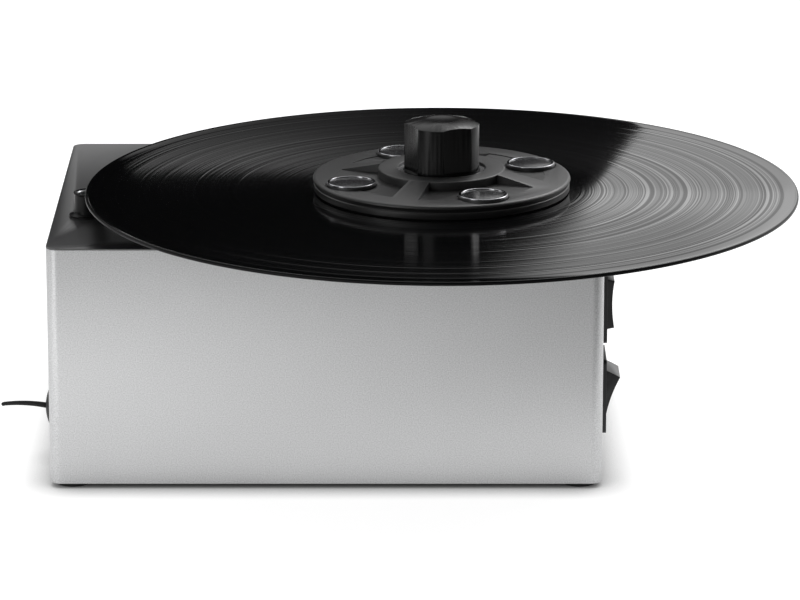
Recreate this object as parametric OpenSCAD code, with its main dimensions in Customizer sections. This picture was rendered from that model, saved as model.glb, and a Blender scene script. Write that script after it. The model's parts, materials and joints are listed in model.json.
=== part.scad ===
// Record cleaning machine: a metal case with a driven turntable, a screw clamp on the label,
// a socket for a suction arm, a vacuum motor and a waste tank, with a twelve inch record clamped on.
// Millimetres. X runs to the right along the front, Y runs from front to back, Z is up.

/* [Case] */
// Width of the case
case_w = 232; // [228:1:244]
// Depth of the case
case_d = 185; // [182:1:196]
// Height of the case without its feet
case_h = 102; // [100:1:112]
// Radius of the four upright corners
corner_r = 5; // [4:0.5:7]
// Thickness of the wrapped wall
wall_t = 2; // [1.6:0.1:2.4]
// Thickness of the top plate
top_plate_t = 2; // [1.6:0.1:2.4]
// How far the top plate stands above the wall's rim
top_lip_t = 0.6; // [0.4:0.1:0.9]
// Thickness of the bottom plate
bottom_plate_t = 2; // [1.6:0.1:2.4]
// Gap between a plate and the wall around it
plate_gap = 0.15; // [0.1:0.05:0.3]
// Height of the rubber feet
foot_h = 2.2; // [2:0.1:4]
// Radius of the rubber feet
foot_r = 7.5; // [6:0.5:8]
// Distance from the inner wall to a corner post's centre
post_inset = 7.5; // [7:0.5:9]
// Radius of the corner posts
post_r = 4; // [3.5:0.25:4.5]

/* [Record] */
// Radius of the record
record_r = 150.8; // [150.4:0.1:151.2]
// Thickness of the record at its rim and label
record_t = 1.6; // [1.4:0.1:2]
// Thickness of the record where it is grooved
groove_area_t = 1.3; // [1.1:0.1:1.35]
// Radius of the spindle hole
record_hole_r = 3.63; // [3.61:0.01:3.66]
// Radius of the paper labels
label_r = 50; // [48:0.5:51]
// Thickness of a paper label
label_t = 0.15; // [0.1:0.01:0.2]

/* [Turntable] */
// Spindle, from the case's middle line to the right
spindle_x = 48.7; // [44:0.1:52]
// Spindle, behind the front face
spindle_y = 50.5; // [48:0.1:58]
// Height of the record's underside above the top plate
record_gap = 11.4; // [11:0.1:14]
// Radius of the platter
platter_r = 50; // [46:0.5:52]
// Thickness of the platter
platter_t = 5.8; // [5:0.1:6.4]
// Thickness of the platter's mat
mat_t = 1.4; // [1:0.1:2]
// Radius of the turntable shaft
shaft_r = 4; // [3.5:0.1:4.5]
// Radius of the bearing bushes
bush_r = 7; // [6.4:0.1:8]
// Radius of the bearing housing
bearing_r = 11; // [10:0.5:12]
// Length of the bearing housing below its flange
bearing_body_h = 23; // [20:1:24]
// Radius of the bearing flange
bearing_flange_r = 20; // [19:0.5:22]
// Thickness of the bearing flange
bearing_flange_t = 3; // [2:0.5:4]
// Height of the bearing collar above the top plate
bearing_collar_h = 2; // [1.5:0.1:2.5]
// Radius of the spindle where the record sits
spindle_r = 3.575; // [3.56:0.005:3.59]
// Radius of the spindle's threaded end
thread_r = 3; // [2.8:0.05:3.1]
// Height of the spindle above the record
spindle_rise = 23; // [20:0.5:24]

/* [Drive] */
// Tooth size, as pitch diameter over the number of teeth
gear_module = 1; // [0.9:0.05:1.1]
// Teeth on the turntable gear
gear_teeth = 45; // [39:3:48]
// Teeth on the motor pinion
pinion_teeth = 15; // [13:1:16]
// Tooth thickness taken off for play
tooth_play = 0.14; // [0.1:0.01:0.2]
// Face width of the turntable gear
gear_face = 6; // [5:0.5:7]
// Face width of the pinion
pinion_face = 8; // [7:0.5:9]
// Direction from the spindle to the pinion
drive_angle = 50; // [45:1:60]
// Radius of the gearbox
gearbox_r = 18.5; // [17:0.5:19]
// Height of the gearbox
gearbox_h = 20; // [18:1:22]
// Radius of the motor can under the gearbox
motor_can_r = 17; // [15:0.5:17]
// Height of the motor can
motor_can_h = 27; // [24:1:27]
// Radius of the gearbox shaft
motor_shaft_r = 3; // [2.5:0.1:3.2]
// Thickness of the motor bracket
bracket_t = 2.5; // [2:0.25:3]

/* [Clamp] */
// Radius of the clamp disc
clamp_r = 54.5; // [53:0.25:56]
// Height of the clamp's flat rim above the record
clamp_rim_h = 6; // [6:0.1:6.6]
// Thickness of the clamp's floor above the record
clamp_floor_h = 3; // [2.8:0.1:3.4]
// Outer radius of the hub ring
hub_r = 26.8; // [25:0.1:28]
// Radius of the hole in the hub ring
hub_hole_r = 18.5; // [18.3:0.1:19]
// Height of the hub ring above the record
hub_top_h = 9.5; // [9:0.1:10.5]
// Outer radius of the four pockets, where the spokes' slopes meet the rim
pocket_r = 43.6; // [42.1:0.5:44.6]
// Height of the pocket floors above the record
pocket_floor_h = 5.7; // [5.4:0.1:5.9]
// Half width of a spoke at the hub ring
spoke_in = 4.4; // [3.8:0.1:5]
// Half width of a spoke at the pocket's outer edge
spoke_out = 5.8; // [5:0.1:7]
// Distance of the buttons from the spindle
button_ring_r = 41.6; // [40.8:0.1:42]
// Radius of a button with its chrome ring
button_r = 10.2; // [9.5:0.1:10.4]
// Width of the chrome ring
button_ring_w = 1.3; // [1:0.1:1.6]
// Angle of the first button from the X axis
button_angle = 24; // [0:1:44]
// Thickness of the rubber seal under the rim
seal_t = 1.2; // [1:0.1:1.4]

/* [Knob] */
// Radius of the knob
knob_r = 15.8; // [15:0.1:16]
// Height of the knob's edge above the record
knob_edge_h = 28.4; // [27:0.1:29.4]
// Height of the knob's top above the record
knob_top_h = 30.4; // [29.9:0.1:32]
// Radius of the shallow dish in the knob's top
knob_dish_r = 7.5; // [6:0.1:9]
// Depth of the dish
knob_dish_d = 0.7; // [0.4:0.1:1]
// Depth of the four finger scallops
scallop_d = 2; // [1.6:0.1:2.3]
// Radius of a scallop's curve
scallop_r = 38; // [32:0.5:44]
// Direction of the first scallop
scallop_angle = -64; // [-90:1:0]
// Radius of the knob's captive foot
knob_foot_r = 17.6; // [17:0.1:17.8]
// Outer radius of the brass insert
insert_r = 5; // [4.5:0.1:5.5]

/* [Arm socket] */
// Distance of the arm socket from the case's left side
arm_inset = 14.4; // [13.5:0.1:17]
// Arm socket, behind the front face
arm_y = 56.8; // [54:0.1:62]
// Height of the socket above the top plate
socket_h = 10.2; // [9:0.1:10.3]
// Radius of the socket's body
socket_r = 5.9; // [5.8:0.1:6.2]
// Radius of the socket's flared foot
socket_foot_r = 8; // [7.6:0.1:9]
// Height of the flared foot
socket_foot_h = 2.4; // [2:0.1:3]
// Bore of the sleeve that holds the arm tube
arm_bore_r = 4; // [3.5:0.1:4.1]
// Wall of the sleeve
sleeve_wall = 0.9; // [0.7:0.05:0.95]
// How far the sprung sleeve can be pressed down
arm_travel = 4; // [3:0.5:5]
// Wire radius of the arm spring
spring_wire_r = 0.45; // [0.35:0.05:0.5]
// Turns of the arm spring
spring_turns = 7; // [5:1:8]

/* [Switches] */
// Depth of a switch bezel, front to back
bezel_w = 25.6; // [24:0.2:27]
// Height of a switch bezel
bezel_h = 32; // [31:0.5:34]
// Thickness of a bezel
bezel_t = 2; // [1.6:0.1:2.4]
// Distance from the front face to the bezels
bezel_inset = 15; // [14.5:0.5:20]
// Distance from the top plate down to the upper bezel
bezel_drop = 13.2; // [12:0.1:16]
// Distance between the two bezels' middles
switch_pitch = 39.4; // [38:0.1:42]
// Width of a rocker
rocker_w = 17.4; // [16:0.1:18]
// Height of a rocker between its two crests
rocker_h = 20.4; // [19:0.1:21]
// How far a level rocker's crests stand out of the bezel
rocker_proud = 3.1; // [2.6:0.1:3.4]
// Hollow in a rocker's face
rocker_sag = 0.9; // [0.5:0.1:1.2]
// Tilt of the lower rocker at rest
rocker_tilt = 18; // [14:1:20]
// Radius of the rocker pins
rocker_pin_r = 1.5; // [1.2:0.1:1.8]

/* [Tank and drain] */
// Width of the waste tank
tank_w = 68; // [64:1:70]
// Length of the waste tank, front to back
tank_l = 133; // [125:1:135]
// Height of the waste tank
tank_h = 54; // [50:1:55]
// Wall of the waste tank
tank_wall = 2; // [1.6:0.1:2.4]
// Thickness of the tank lid
lid_t = 3; // [2.5:0.1:4]
// Drain, behind the front face
drain_y = 45; // [40:1:60]
// Height of the drain's middle above the floor
drain_z = 23; // [20:0.5:26]
// Bore of the drain stub
drain_bore_r = 6.5; // [5.5:0.1:7]
// Radius of the drain plug's dome
plug_r = 12; // [11:0.1:13]
// How far the dome stands out of the case
plug_proud = 4.4; // [3.6:0.1:5]
// Length of the pull tab
tab_l = 19; // [16:0.5:22]
// Radius of the pull tab at its root
tab_root_r = 1.25; // [1.1:0.05:1.5]
// Radius of the pull tab near its end
tab_end_r = 0.86; // [0.8:0.02:1]
// Upward bow of the pull tab
tab_bow = 1.15; // [0.6:0.05:2]

/* [Vacuum] */
// Radius of the fan shroud
shroud_r = 44; // [42:0.5:45]
// Height of the fan shroud
shroud_h = 26; // [25:0.5:28]
// Sheet thickness of the fan shroud
shroud_t = 1.2; // [1:0.1:1.5]
// Radius of the vacuum motor
vac_motor_r = 28; // [25:0.5:29]
// Height of the vacuum motor
vac_motor_h = 32; // [30:1:33]
// Blades on the impeller
blade_count = 9; // [7:1:11]
// Outer radius of the suction hose
hose_r = 10; // [9.5:0.1:10.5]
// Wall of the suction hose
hose_wall = 2; // [1.5:0.1:2.4]
// Bend radius of the suction hose
hose_bend_r = 13; // [12.5:0.5:15]
// Slots in the rear vent
vent_count = 14; // [8:1:16]
// Width of a vent slot
vent_w = 3; // [2:0.1:3.4]
// Height of a vent slot
vent_h = 34; // [24:1:38]

/* [Mains] */
// Distance of the mains inlet's middle from the case's right side
inlet_inset = 31; // [28:1:36]
// Height of the inlet's middle above the floor
inlet_z = 31; // [28:1:40]
// Width of the inlet's flange
inlet_flange_w = 48; // [46:1:52]
// Height of the inlet's flange
inlet_flange_h = 23; // [22:0.5:26]
// Thickness of the inlet's flange
inlet_flange_t = 2; // [1.5:0.1:2.5]
// Width of the circuit board
board_w = 50; // [46:1:52]
// Length of the circuit board
board_l = 50; // [44:1:52]
// Thickness of the circuit board
board_t = 1.6; // [1.2:0.1:2]

/* [Fits] */
// Radial gap of a turning or sliding fit
run_gap = 0.06; // [0.04:0.01:0.08]
// Radial gap of a pressed or screwed fit
press_gap = 0.02; // [0.01:0.01:0.04]
// Gap between parts that only stand near each other
free_gap = 0.3; // [0.3:0.05:0.4]
// Radius of the small machine screws
screw_r = 1.5; // [1.25:0.05:1.6]

/* [Hidden] */
$fn = 96;

// Levels of the case
top_z = foot_h + case_h;
under_top_z = top_z - top_plate_t;
floor_z = foot_h + bottom_plate_t;
rim_z = top_z - top_lip_t;
inner_w = case_w - 2 * wall_t;
inner_back = case_d - wall_t;
inner_r = corner_r - wall_t;
post_x = inner_w / 2 - post_inset;
post_ys = [wall_t + post_inset, inner_back - post_inset];
post_corners = [for (x = [-post_x, post_x], y = post_ys) [x, y]];
stud_l = 6;
foot_head_r = 3.2;
foot_head_h = 1.3;
foot_head_up = 0.5;

// Levels of the record and the turntable
record_z = top_z + record_gap;
record_top_z = record_z + record_t;
platter_top_z = record_z - mat_t;
platter_z = platter_top_z - platter_t;
collar_top_z = top_z + bearing_collar_h;
washer_t = 0.8;
hub_float = 0.2;
platter_hub_z = collar_top_z + washer_t + hub_float;
platter_hub_r = 12;
platter_rim_w = 4;
platter_web_t = 2.8;
platter_rib_t = 2;
platter_ribs = 6;
bead_w = 3.6;
bead_r = 0.7;
label_step_w = 1.6;
bearing_bottom_z = under_top_z - bearing_flange_t - bearing_body_h;
bush_h = 8;
nut_pcd_r = 15.6;
nut_r = 2.9;
nut_h = 2.4;
nut_count = 3;
spindle_stud_r = 2.5;
spindle_stud_l = 8;
spindle_tip = 1.2;

// Levels of the drive
end_float = 0.3;
gear_hub_r = 8;
gear_hub_h = 15;
gear_hub_top_z = bearing_bottom_z - end_float;
gear_hub_z = gear_hub_top_z - gear_hub_h;
shaft_tail = 0.5;
gear_z = gear_hub_z + (gear_hub_h - gear_face) / 2;
gear_pitch_r = gear_module * gear_teeth / 2;
pinion_pitch_r = gear_module * pinion_teeth / 2;
centre_distance = gear_pitch_r + pinion_pitch_r;
motor_x = spindle_x + centre_distance * cos(drive_angle);
motor_y = spindle_y + centre_distance * sin(drive_angle);
pinion_z = gear_z - (pinion_face - gear_face) / 2;
bracket_drop = 1.2;
bracket_top_z = gear_hub_z - shaft_tail - bracket_drop;
bracket_z = bracket_top_z - bracket_t;
boss_r = 6;
shaft_sink = 10;
standoff_r = 3;
standoff_foot_r = 6;
bracket_arm_w = 12;
standoff_clear = 4;
standoff_left_y = 8;
standoff_right_x = 24;
standoff_right_y = 10;
standoff_back_x = 8;
standoff_back_y = 27;
standoff_left = [spindle_x - gear_pitch_r - standoff_r - standoff_clear, spindle_y + standoff_left_y];
standoff_right = [motor_x + standoff_right_x, motor_y - standoff_right_y];
standoff_back = [motor_x - standoff_back_x, motor_y + standoff_back_y];
standoffs = [standoff_left, standoff_right, standoff_back];
pressure_angle = 20;
bracket_head_r = 2.8;
bracket_head_h = 1.8;

// Heights of the clamp, above the record
clamp_under_h = 0.6;
clamp_skirt_h = 0.5;
clamp_skirt_t = 1.2;
seal_w = 6;
seal_r = clamp_r - clamp_skirt_t - free_gap;
clamp_step = 0.4;
clamp_lip = 2.6;
clamp_round = 1.2;
clamp_groove = 0.3;
hub_seat_h = pocket_floor_h - 1;
button_angles = [for (i = [0:3]) button_angle + 90 * i];
boss_rim = 0.3;
boss_gap = 0.8;
boss_groove_d = 0.6;
pocket_past = 3;
hub_overhang = 0.5;
button_seat_h = clamp_rim_h + 0.8;
button_ring_h = 0.7;
button_well_d = 1.2;
cap_dome_h = 0.45;
washer_h = 0.4;
knob_foot_h = 3.8;
knob_neck_h = 1.6;
circlip_gap = 0.3;
circlip_t = 0.9;
circlip_bite = 0.3;
circlip_in_r = knob_r + 0.4;
knob_z = record_top_z + clamp_floor_h + washer_h;
circlip_h = clamp_floor_h + washer_h + knob_foot_h + circlip_gap;
insert_up = 0.2;
insert_l = 12.4;
knob_top_web = 3.6;

// Levels of the arm socket and the parts of its sprung sleeve
arm_x = case_w / 2 - arm_inset;
sleeve_r = arm_bore_r + sleeve_wall;
socket_bore_r = sleeve_r + run_gap;
neck_r = sleeve_r + 1.6;
neck_l = 12.2;
neck_z = under_top_z - neck_l;
socket_nut_h = 5;
socket_nut_r = 9.4;
shoulder_t = 2.7;
collar_t = 3;
collar_r = neck_r + 0.9;
shoulder_top_z = neck_z - end_float;
collar_top = shoulder_top_z - shoulder_t;
collar_z = collar_top - collar_t;
tank_top_z = floor_z + tank_h;
lid_top_z = tank_top_z + lid_t;
arm_boss_h = 5;
arm_boss_r = 8;
boss_top_z = lid_top_z + arm_boss_h;
spring_r = sleeve_r + spring_wire_r + 0.75;
spring_seat_gap = 0.2;

// Switches
switch_y = bezel_inset + bezel_w / 2;
upper_switch_z = top_z - bezel_drop - bezel_h / 2;
lower_switch_z = upper_switch_z - switch_pitch;
rocker_pivot_in = 4;
pivot_u = bezel_t - rocker_pivot_in;
crest_u = rocker_proud + rocker_pivot_in;
rocker_swing_r = norm([crest_u, rocker_h / 2]);
rocker_side_gap = 0.3;
rocker_keel = 3.2;
well_h = 2 * (rocker_swing_r + free_gap);
well_w = rocker_w + 2 * rocker_side_gap;
well_floor_u = pivot_u - rocker_keel - 2.4;
switch_body_wall = 1.6;
switch_body_w = well_w + 2 * switch_body_wall;
switch_body_h = well_h + 2 * switch_body_wall;
switch_body_depth = 21;
terminal_l = 8;
terminal_w = 4.8;
terminal_t = 0.8;

// Tank, drain and vacuum
part_gap = 5;
tank_x0 = -inner_w / 2 + 2;
tank_x1 = tank_x0 + tank_w;
tank_y0 = 17;
tank_r = 6;
lid_rebate = 2;
drain_wall = 2;
stub_end_x = -case_w / 2 - 0.3;
plug_stem_l = 11;
tab_root_sink = 1;
cradle_t = 3.8;
cradle_foot_w = 8;
cradle_ledge = 6;
cradle_r = vac_motor_r + cradle_foot_w;
motor_ring_t = 2.3;
cradle_wall_t = 2.4;
cradle_wall_h = 11;
vac_x = tank_x1 + part_gap + shroud_r;
vac_y = inner_back - part_gap - 2 - shroud_r;
vac_motor_z = floor_z + cradle_t;
vac_motor_edge = 2;
vac_neck_r = 0.8 * vac_motor_r;
shroud_z = vac_motor_z + vac_motor_h;
shroud_top_z = shroud_z + shroud_h;
shroud_inlet_r = 12;
shroud_shaft_r = 5;
exhaust_count = 12;
exhaust_w = 8;
exhaust_h = 5;
impeller_r = shroud_r - 4;
impeller_z = shroud_z + 6;
impeller_h = 14;
impeller_eye_r = 13;
impeller_plate_t = 1.4;
impeller_shaft_r = 3;
impeller_hub_r = 7;
blade_t = 1.2;
gasket_t = 2;
hose_z = shroud_top_z + gasket_t;
hose_leg = 2;
hose_run_z = hose_z + hose_leg + hose_bend_r;
spigot_x = tank_x0 + tank_w / 2;
spigot_inset = 18;
spigot_y = tank_y0 + tank_l - spigot_inset;
hose_reach = norm([vac_x - spigot_x, vac_y - spigot_y]);
hose_angle = atan2(vac_y - spigot_y, vac_x - spigot_x);
spigot_wall = 1.6;
spigot_h = 8;
hose_in_r = hose_r - hose_wall;

// Mains parts
inlet_x = case_w / 2 - inlet_inset;
inlet_body_w = 27;
inlet_body_h = 19.6;
inlet_body_depth = 20;
inlet_well_w = 24;
inlet_well_h = 16.4;
inlet_well_depth = 17;
inlet_pin_pitch = 7;
inlet_pin_w = 2;
inlet_pin_h = 4;
inlet_pin_recess = 2;
inlet_tab_l = 8;
inlet_screw_x = inlet_flange_w / 2 - 4;
inlet_screw_l = 6;
board_wall_gap = 2;
board_x0 = inner_w / 2 - board_wall_gap - board_w;
board_y0 = motor_y + gearbox_r + part_gap;
board_lift = 8;
board_post_r = 2.6;
board_z = floor_z + board_lift;
board_corner = 4;
transformer_size = [18, 20, 16];
heat_sink_size = [20, 4, 14];
terminal_size = [7, 6.5, 8];
transformer_at = [9, 9];
heat_sink_at = [10, 33];
terminal_at = [8, 40];
terminal_pitch = 8;
capacitor_x = 37;
capacitor_ys = [14, 26];
capacitor_r = 5;
capacitor_h = 16;

// The part's own origin is the middle of its footprint, on the floor
left_end = -case_w / 2 - plug_proud - tab_l;
right_end = spindle_x + record_r;
front_end = spindle_y - record_r;
back_end = max(spindle_y + record_r, case_d + inlet_flange_t);
origin_x = (left_end + right_end) / 2;
origin_y = (front_end + back_end) / 2;

module in_frame() translate([-origin_x, -origin_y, 0]) children();
module at_spindle(z = 0) translate([spindle_x, spindle_y, z]) children();
module at_motor(z = 0) translate([motor_x, motor_y, z]) children();
module at_arm(z = 0) translate([-arm_x, arm_y, z]) children();
module at_vacuum(z = 0) translate([vac_x, vac_y, z]) children();
module at_clamp() at_spindle(record_top_z) children();
module at_switch(z) translate([case_w / 2, switch_y, z]) children();
module at_inlet() translate([inlet_x, case_d, inlet_z]) rotate([90, 0, 0]) children();
module at_drain() translate([0, drain_y, drain_z]) rotate([0, -90, 0]) children();

// A rectangle with round corners, about the middle
module round_rect(w, d, r) {
    square([w - 2 * r, d], center = true);
    square([w, d - 2 * r], center = true);
    for (x = [-1, 1], y = [-1, 1])
        translate([x * (w / 2 - r), y * (d / 2 - r)]) circle(r = r);
}

// A flat bar with round ends between two points
module bar(a, b, w) {
    length = norm(b - a);
    translate(a) rotate(atan2(b[1] - a[1], b[0] - a[0])) {
        translate([0, -w / 2]) square([length, w]);
        circle(d = w);
        translate([length, 0]) circle(d = w);
    }
}

module ring(outer, inner, h) {
    difference() {
        cylinder(r = outer, h = h);
        translate([0, 0, -1]) cylinder(r = inner, h = h + 2);
    }
}

module hexagon(r, h) cylinder(r = r, h = h, $fn = 6);

// Involute gear outline: half the angle that a tooth fills at radius r
function polar(r, a) = [r * cos(a), r * sin(a)];
function involute(a) = tan(a) * 180 / PI - a;
function base_angle(r, pitch_r) = acos(min(1, pitch_r * cos(pressure_angle) / r));
function tooth_half(r, pitch_r, teeth) =
    90 / teeth - tooth_play / pitch_r * 90 / PI
    + involute(pressure_angle) - involute(base_angle(r, pitch_r));

module gear_outline(teeth, pitch_r) {
    tip_r = pitch_r + 0.95 * gear_module;
    root_r = pitch_r - 1.25 * gear_module;
    radii = [root_r, pitch_r - 0.45 * gear_module, pitch_r + 0.2 * gear_module, tip_r];
    last = len(radii) - 1;
    polygon([
        for (i = [0:teeth - 1], side = [-1, 1], k = [0:last])
            let (r = radii[side < 0 ? k : last - k])
                polar(r, i * 360 / teeth + side * tooth_half(r, pitch_r, teeth))
    ]);
}

// A round tube or rod swept along a route, one ring of points at each route point
function unit(v) = v / norm(v);
function heading(p, i) = unit(p[min(i + 1, len(p) - 1)] - p[max(i - 1, 0)]);
function ring_points(p, t, r, sides) =
    let (side = unit(cross(t, abs(t[2]) > 0.9 ? [0, 1, 0] : [0, 0, 1])), up = cross(side, t))
        [for (k = [0:sides - 1]) p + r * (cos(360 * k / sides) * side + sin(360 * k / sides) * up)];

module swept_rod(route, radii, sides) {
    rings = len(route);
    points = [for (i = [0:rings - 1]) each ring_points(route[i], heading(route, i), radii[i], sides)];
    walls = [
        for (i = [0:rings - 2], k = [0:sides - 1], half = [0, 1])
            let (a = i * sides + k, b = i * sides + (k + 1) % sides)
                half == 0 ? [a, a + sides, b] : [b, a + sides, b + sides]
    ];
    first = [for (k = [0:sides - 1]) k];
    last = [for (k = [sides - 1:-1:0]) (rings - 1) * sides + k];
    polyhedron(points, concat(walls, [first, last]), convexity = 6);
}

// Case

module switch_hole(z) {
    translate([case_w / 2 - wall_t / 2, switch_y, z])
        cube([2 * wall_t + 2, switch_body_w + 2 * plate_gap, switch_body_h + 2 * plate_gap], center = true);
}

module case_sleeve() {
    color("silver") in_frame() difference() {
        translate([0, case_d / 2, foot_h]) linear_extrude(rim_z - foot_h) difference() {
            round_rect(case_w, case_d, corner_r);
            round_rect(inner_w, case_d - 2 * wall_t, inner_r);
        }
        switch_hole(upper_switch_z);
        switch_hole(lower_switch_z);
        at_drain() translate([0, 0, case_w / 2 - 2 * wall_t])
            cylinder(r = drain_bore_r + drain_wall + free_gap, h = 4 * wall_t);
        translate([inlet_x, case_d - wall_t / 2, inlet_z])
            cube([inlet_body_w + 2 * plate_gap, 3 * wall_t, inlet_body_h + 2 * plate_gap], center = true);
        at_inlet() for (s = [-1, 1])
            translate([s * inlet_screw_x, 0, -wall_t]) cylinder(r = screw_r + press_gap, h = 3 * wall_t);
        for (i = [0:vent_count - 1])
            translate([vac_x + (i - (vent_count - 1) / 2) * 2 * vent_w, case_d - wall_t / 2, shroud_z])
                cube([vent_w, 3 * wall_t, vent_h], center = true);
    }
}

module top_studs(points, length) {
    for (p = points) translate([p[0], p[1], under_top_z - length]) cylinder(r = screw_r, h = length + 0.5);
}

module top_plate() {
    nut_studs = [for (i = [0:nut_count - 1])
        [spindle_x, spindle_y] + polar(nut_pcd_r, 90 + i * 360 / nut_count)];
    color("dimgray") in_frame() {
        difference() {
            union() {
                translate([0, case_d / 2, rim_z]) linear_extrude(top_lip_t)
                    round_rect(case_w, case_d, corner_r);
                translate([0, case_d / 2, under_top_z]) linear_extrude(top_plate_t)
                    round_rect(inner_w - 2 * plate_gap, case_d - 2 * wall_t - 2 * plate_gap, inner_r);
            }
            at_spindle(under_top_z - 1) cylinder(r = bearing_r + plate_gap, h = top_plate_t + 2);
            at_arm(under_top_z - 1) cylinder(r = neck_r + plate_gap, h = top_plate_t + 2);
        }
        top_studs(post_corners, stud_l);
        top_studs(standoffs, stud_l);
        top_studs(nut_studs, bearing_flange_t + nut_h + 0.8);
    }
}

module bottom_plate() {
    color("dimgray") in_frame() difference() {
        translate([0, case_d / 2, foot_h]) linear_extrude(bottom_plate_t)
            round_rect(inner_w - 2 * plate_gap, case_d - 2 * wall_t - 2 * plate_gap, inner_r);
        for (p = post_corners)
            translate([p[0], p[1], foot_h - 1]) cylinder(r = screw_r + plate_gap, h = bottom_plate_t + 2);
    }
}

// Posts between the plates, bored at both ends for the studs above and the screws below
module corner_posts() {
    color("lightgray") in_frame() for (p = post_corners) translate([p[0], p[1], floor_z]) difference() {
        cylinder(r = post_r, h = under_top_z - floor_z);
        translate([0, 0, -1]) cylinder(r = screw_r + press_gap, h = stud_l + 2);
        translate([0, 0, under_top_z - floor_z - stud_l - 1])
            cylinder(r = screw_r + press_gap, h = stud_l + 2);
    }
}

module feet() {
    color("black") in_frame() for (p = post_corners) translate([p[0], p[1], 0]) difference() {
        rotate_extrude() polygon([
            [0, 0], [foot_r - 0.7, 0], [foot_r, 0.7], [foot_r, foot_h], [0, foot_h]
        ]);
        translate([0, 0, -1]) cylinder(r = screw_r + plate_gap, h = foot_h + 2);
        translate([0, 0, -1]) cylinder(r = foot_head_r + free_gap, h = 1 + foot_head_up + foot_head_h);
    }
}

module foot_screws() {
    color("gray") in_frame() for (p = post_corners) translate([p[0], p[1], foot_head_up]) {
        cylinder(r = foot_head_r, h = foot_head_h);
        cylinder(r = screw_r, h = floor_z - foot_head_up + stud_l);
    }
}

// Turntable bearing and drive

module bearing_housing() {
    body_h = collar_top_z - bearing_bottom_z;
    color("silver") in_frame() at_spindle() difference() {
        union() {
            translate([0, 0, bearing_bottom_z]) cylinder(r = bearing_r, h = body_h);
            translate([0, 0, under_top_z - bearing_flange_t])
                cylinder(r = bearing_flange_r, h = bearing_flange_t);
        }
        translate([0, 0, bearing_bottom_z - 1]) cylinder(r = bush_r, h = body_h + 2);
        for (i = [0:nut_count - 1]) rotate(90 + i * 360 / nut_count)
            translate([nut_pcd_r, 0, under_top_z - bearing_flange_t - 1])
                cylinder(r = screw_r + plate_gap, h = bearing_flange_t + 2);
    }
}

module bearing_bushes() {
    color("peru") in_frame() at_spindle() for (z = [bearing_bottom_z, collar_top_z - bush_h])
        translate([0, 0, z]) ring(bush_r - press_gap, shaft_r + run_gap, bush_h);
}

module bearing_nuts() {
    color("gray") in_frame() at_spindle(under_top_z - bearing_flange_t - nut_h)
        for (i = [0:nut_count - 1]) rotate(90 + i * 360 / nut_count) translate([nut_pcd_r, 0, 0])
            difference() {
                hexagon(nut_r, nut_h);
                translate([0, 0, -1]) cylinder(r = screw_r + press_gap, h = nut_h + 2);
            }
}

module thrust_washer() {
    color("white") in_frame() at_spindle(collar_top_z) ring(bush_r + 2, shaft_r + run_gap, washer_t);
}

module motor_bracket() {
    motor = [motor_x, motor_y];
    color("lightgray") in_frame() translate([0, 0, bracket_z]) linear_extrude(bracket_t) difference() {
        union() {
            for (p = standoffs) {
                bar(motor, p, bracket_arm_w);
                translate(p) circle(r = standoff_foot_r);
            }
            translate(motor) circle(r = gearbox_r);
        }
        translate(motor) circle(r = boss_r + plate_gap);
        for (p = standoffs) translate(p) circle(r = screw_r + plate_gap);
    }
}

module bracket_standoffs() {
    height = under_top_z - bracket_top_z;
    color("lightgray") in_frame() for (p = standoffs) translate([p[0], p[1], bracket_top_z]) difference() {
        cylinder(r = standoff_r, h = height);
        translate([0, 0, -1]) cylinder(r = screw_r + press_gap, h = stud_l + 2);
        translate([0, 0, height - stud_l - 1]) cylinder(r = screw_r + press_gap, h = stud_l + 2);
    }
}

module bracket_screws() {
    color("gray") in_frame() for (p = standoffs) translate([p[0], p[1], bracket_z - bracket_head_h]) {
        cylinder(r = bracket_head_r, h = bracket_head_h);
        cylinder(r = screw_r, h = bracket_head_h + bracket_t + stud_l);
    }
}

module gearmotor() {
    color("darkgray") in_frame() at_motor() difference() {
        union() {
            translate([0, 0, bracket_z - gearbox_h]) cylinder(r = gearbox_r, h = gearbox_h);
            translate([0, 0, bracket_z - gearbox_h]) cylinder(r = boss_r, h = gearbox_h + bracket_t);
            translate([0, 0, bracket_z - gearbox_h - motor_can_h])
                cylinder(r = motor_can_r, h = motor_can_h);
        }
        translate([0, 0, bracket_top_z - shaft_sink - 1])
            cylinder(r = motor_shaft_r + run_gap, h = shaft_sink + 2);
    }
}

module motor_shaft() {
    bottom = bracket_top_z - shaft_sink;
    color("lightgray") in_frame() at_motor(bottom)
        cylinder(r = motor_shaft_r, h = pinion_z + pinion_face + 1 - bottom);
}

module motor_pinion() {
    color("goldenrod") in_frame() at_motor(pinion_z) difference() {
        rotate(drive_angle + 180 + 180 / pinion_teeth) linear_extrude(pinion_face)
            gear_outline(pinion_teeth, pinion_pitch_r);
        translate([0, 0, -1]) cylinder(r = motor_shaft_r + press_gap, h = pinion_face + 2);
    }
}

module turntable_shaft() {
    bottom = gear_hub_z - shaft_tail;
    length = platter_top_z - 1 - bottom;
    color("lightgray") in_frame() at_spindle(bottom) difference() {
        cylinder(r = shaft_r, h = length);
        translate([0, 0, length - spindle_stud_l - 0.5])
            cylinder(r = spindle_stud_r + press_gap, h = spindle_stud_l + 1);
    }
}

module turntable_gear() {
    lightening_r = (gear_hub_r + gear_pitch_r) / 2;
    color("ivory") in_frame() at_spindle() difference() {
        union() {
            translate([0, 0, gear_z]) rotate(drive_angle) linear_extrude(gear_face)
                gear_outline(gear_teeth, gear_pitch_r);
            translate([0, 0, gear_hub_z]) cylinder(r = gear_hub_r, h = gear_hub_h);
        }
        translate([0, 0, gear_hub_z - 1]) cylinder(r = shaft_r + press_gap, h = gear_hub_h + 2);
        for (i = [0:5]) rotate(60 * i) translate([lightening_r, 0, gear_z - 1])
            cylinder(r = 3.6, h = gear_face + 2);
    }
}

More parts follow.
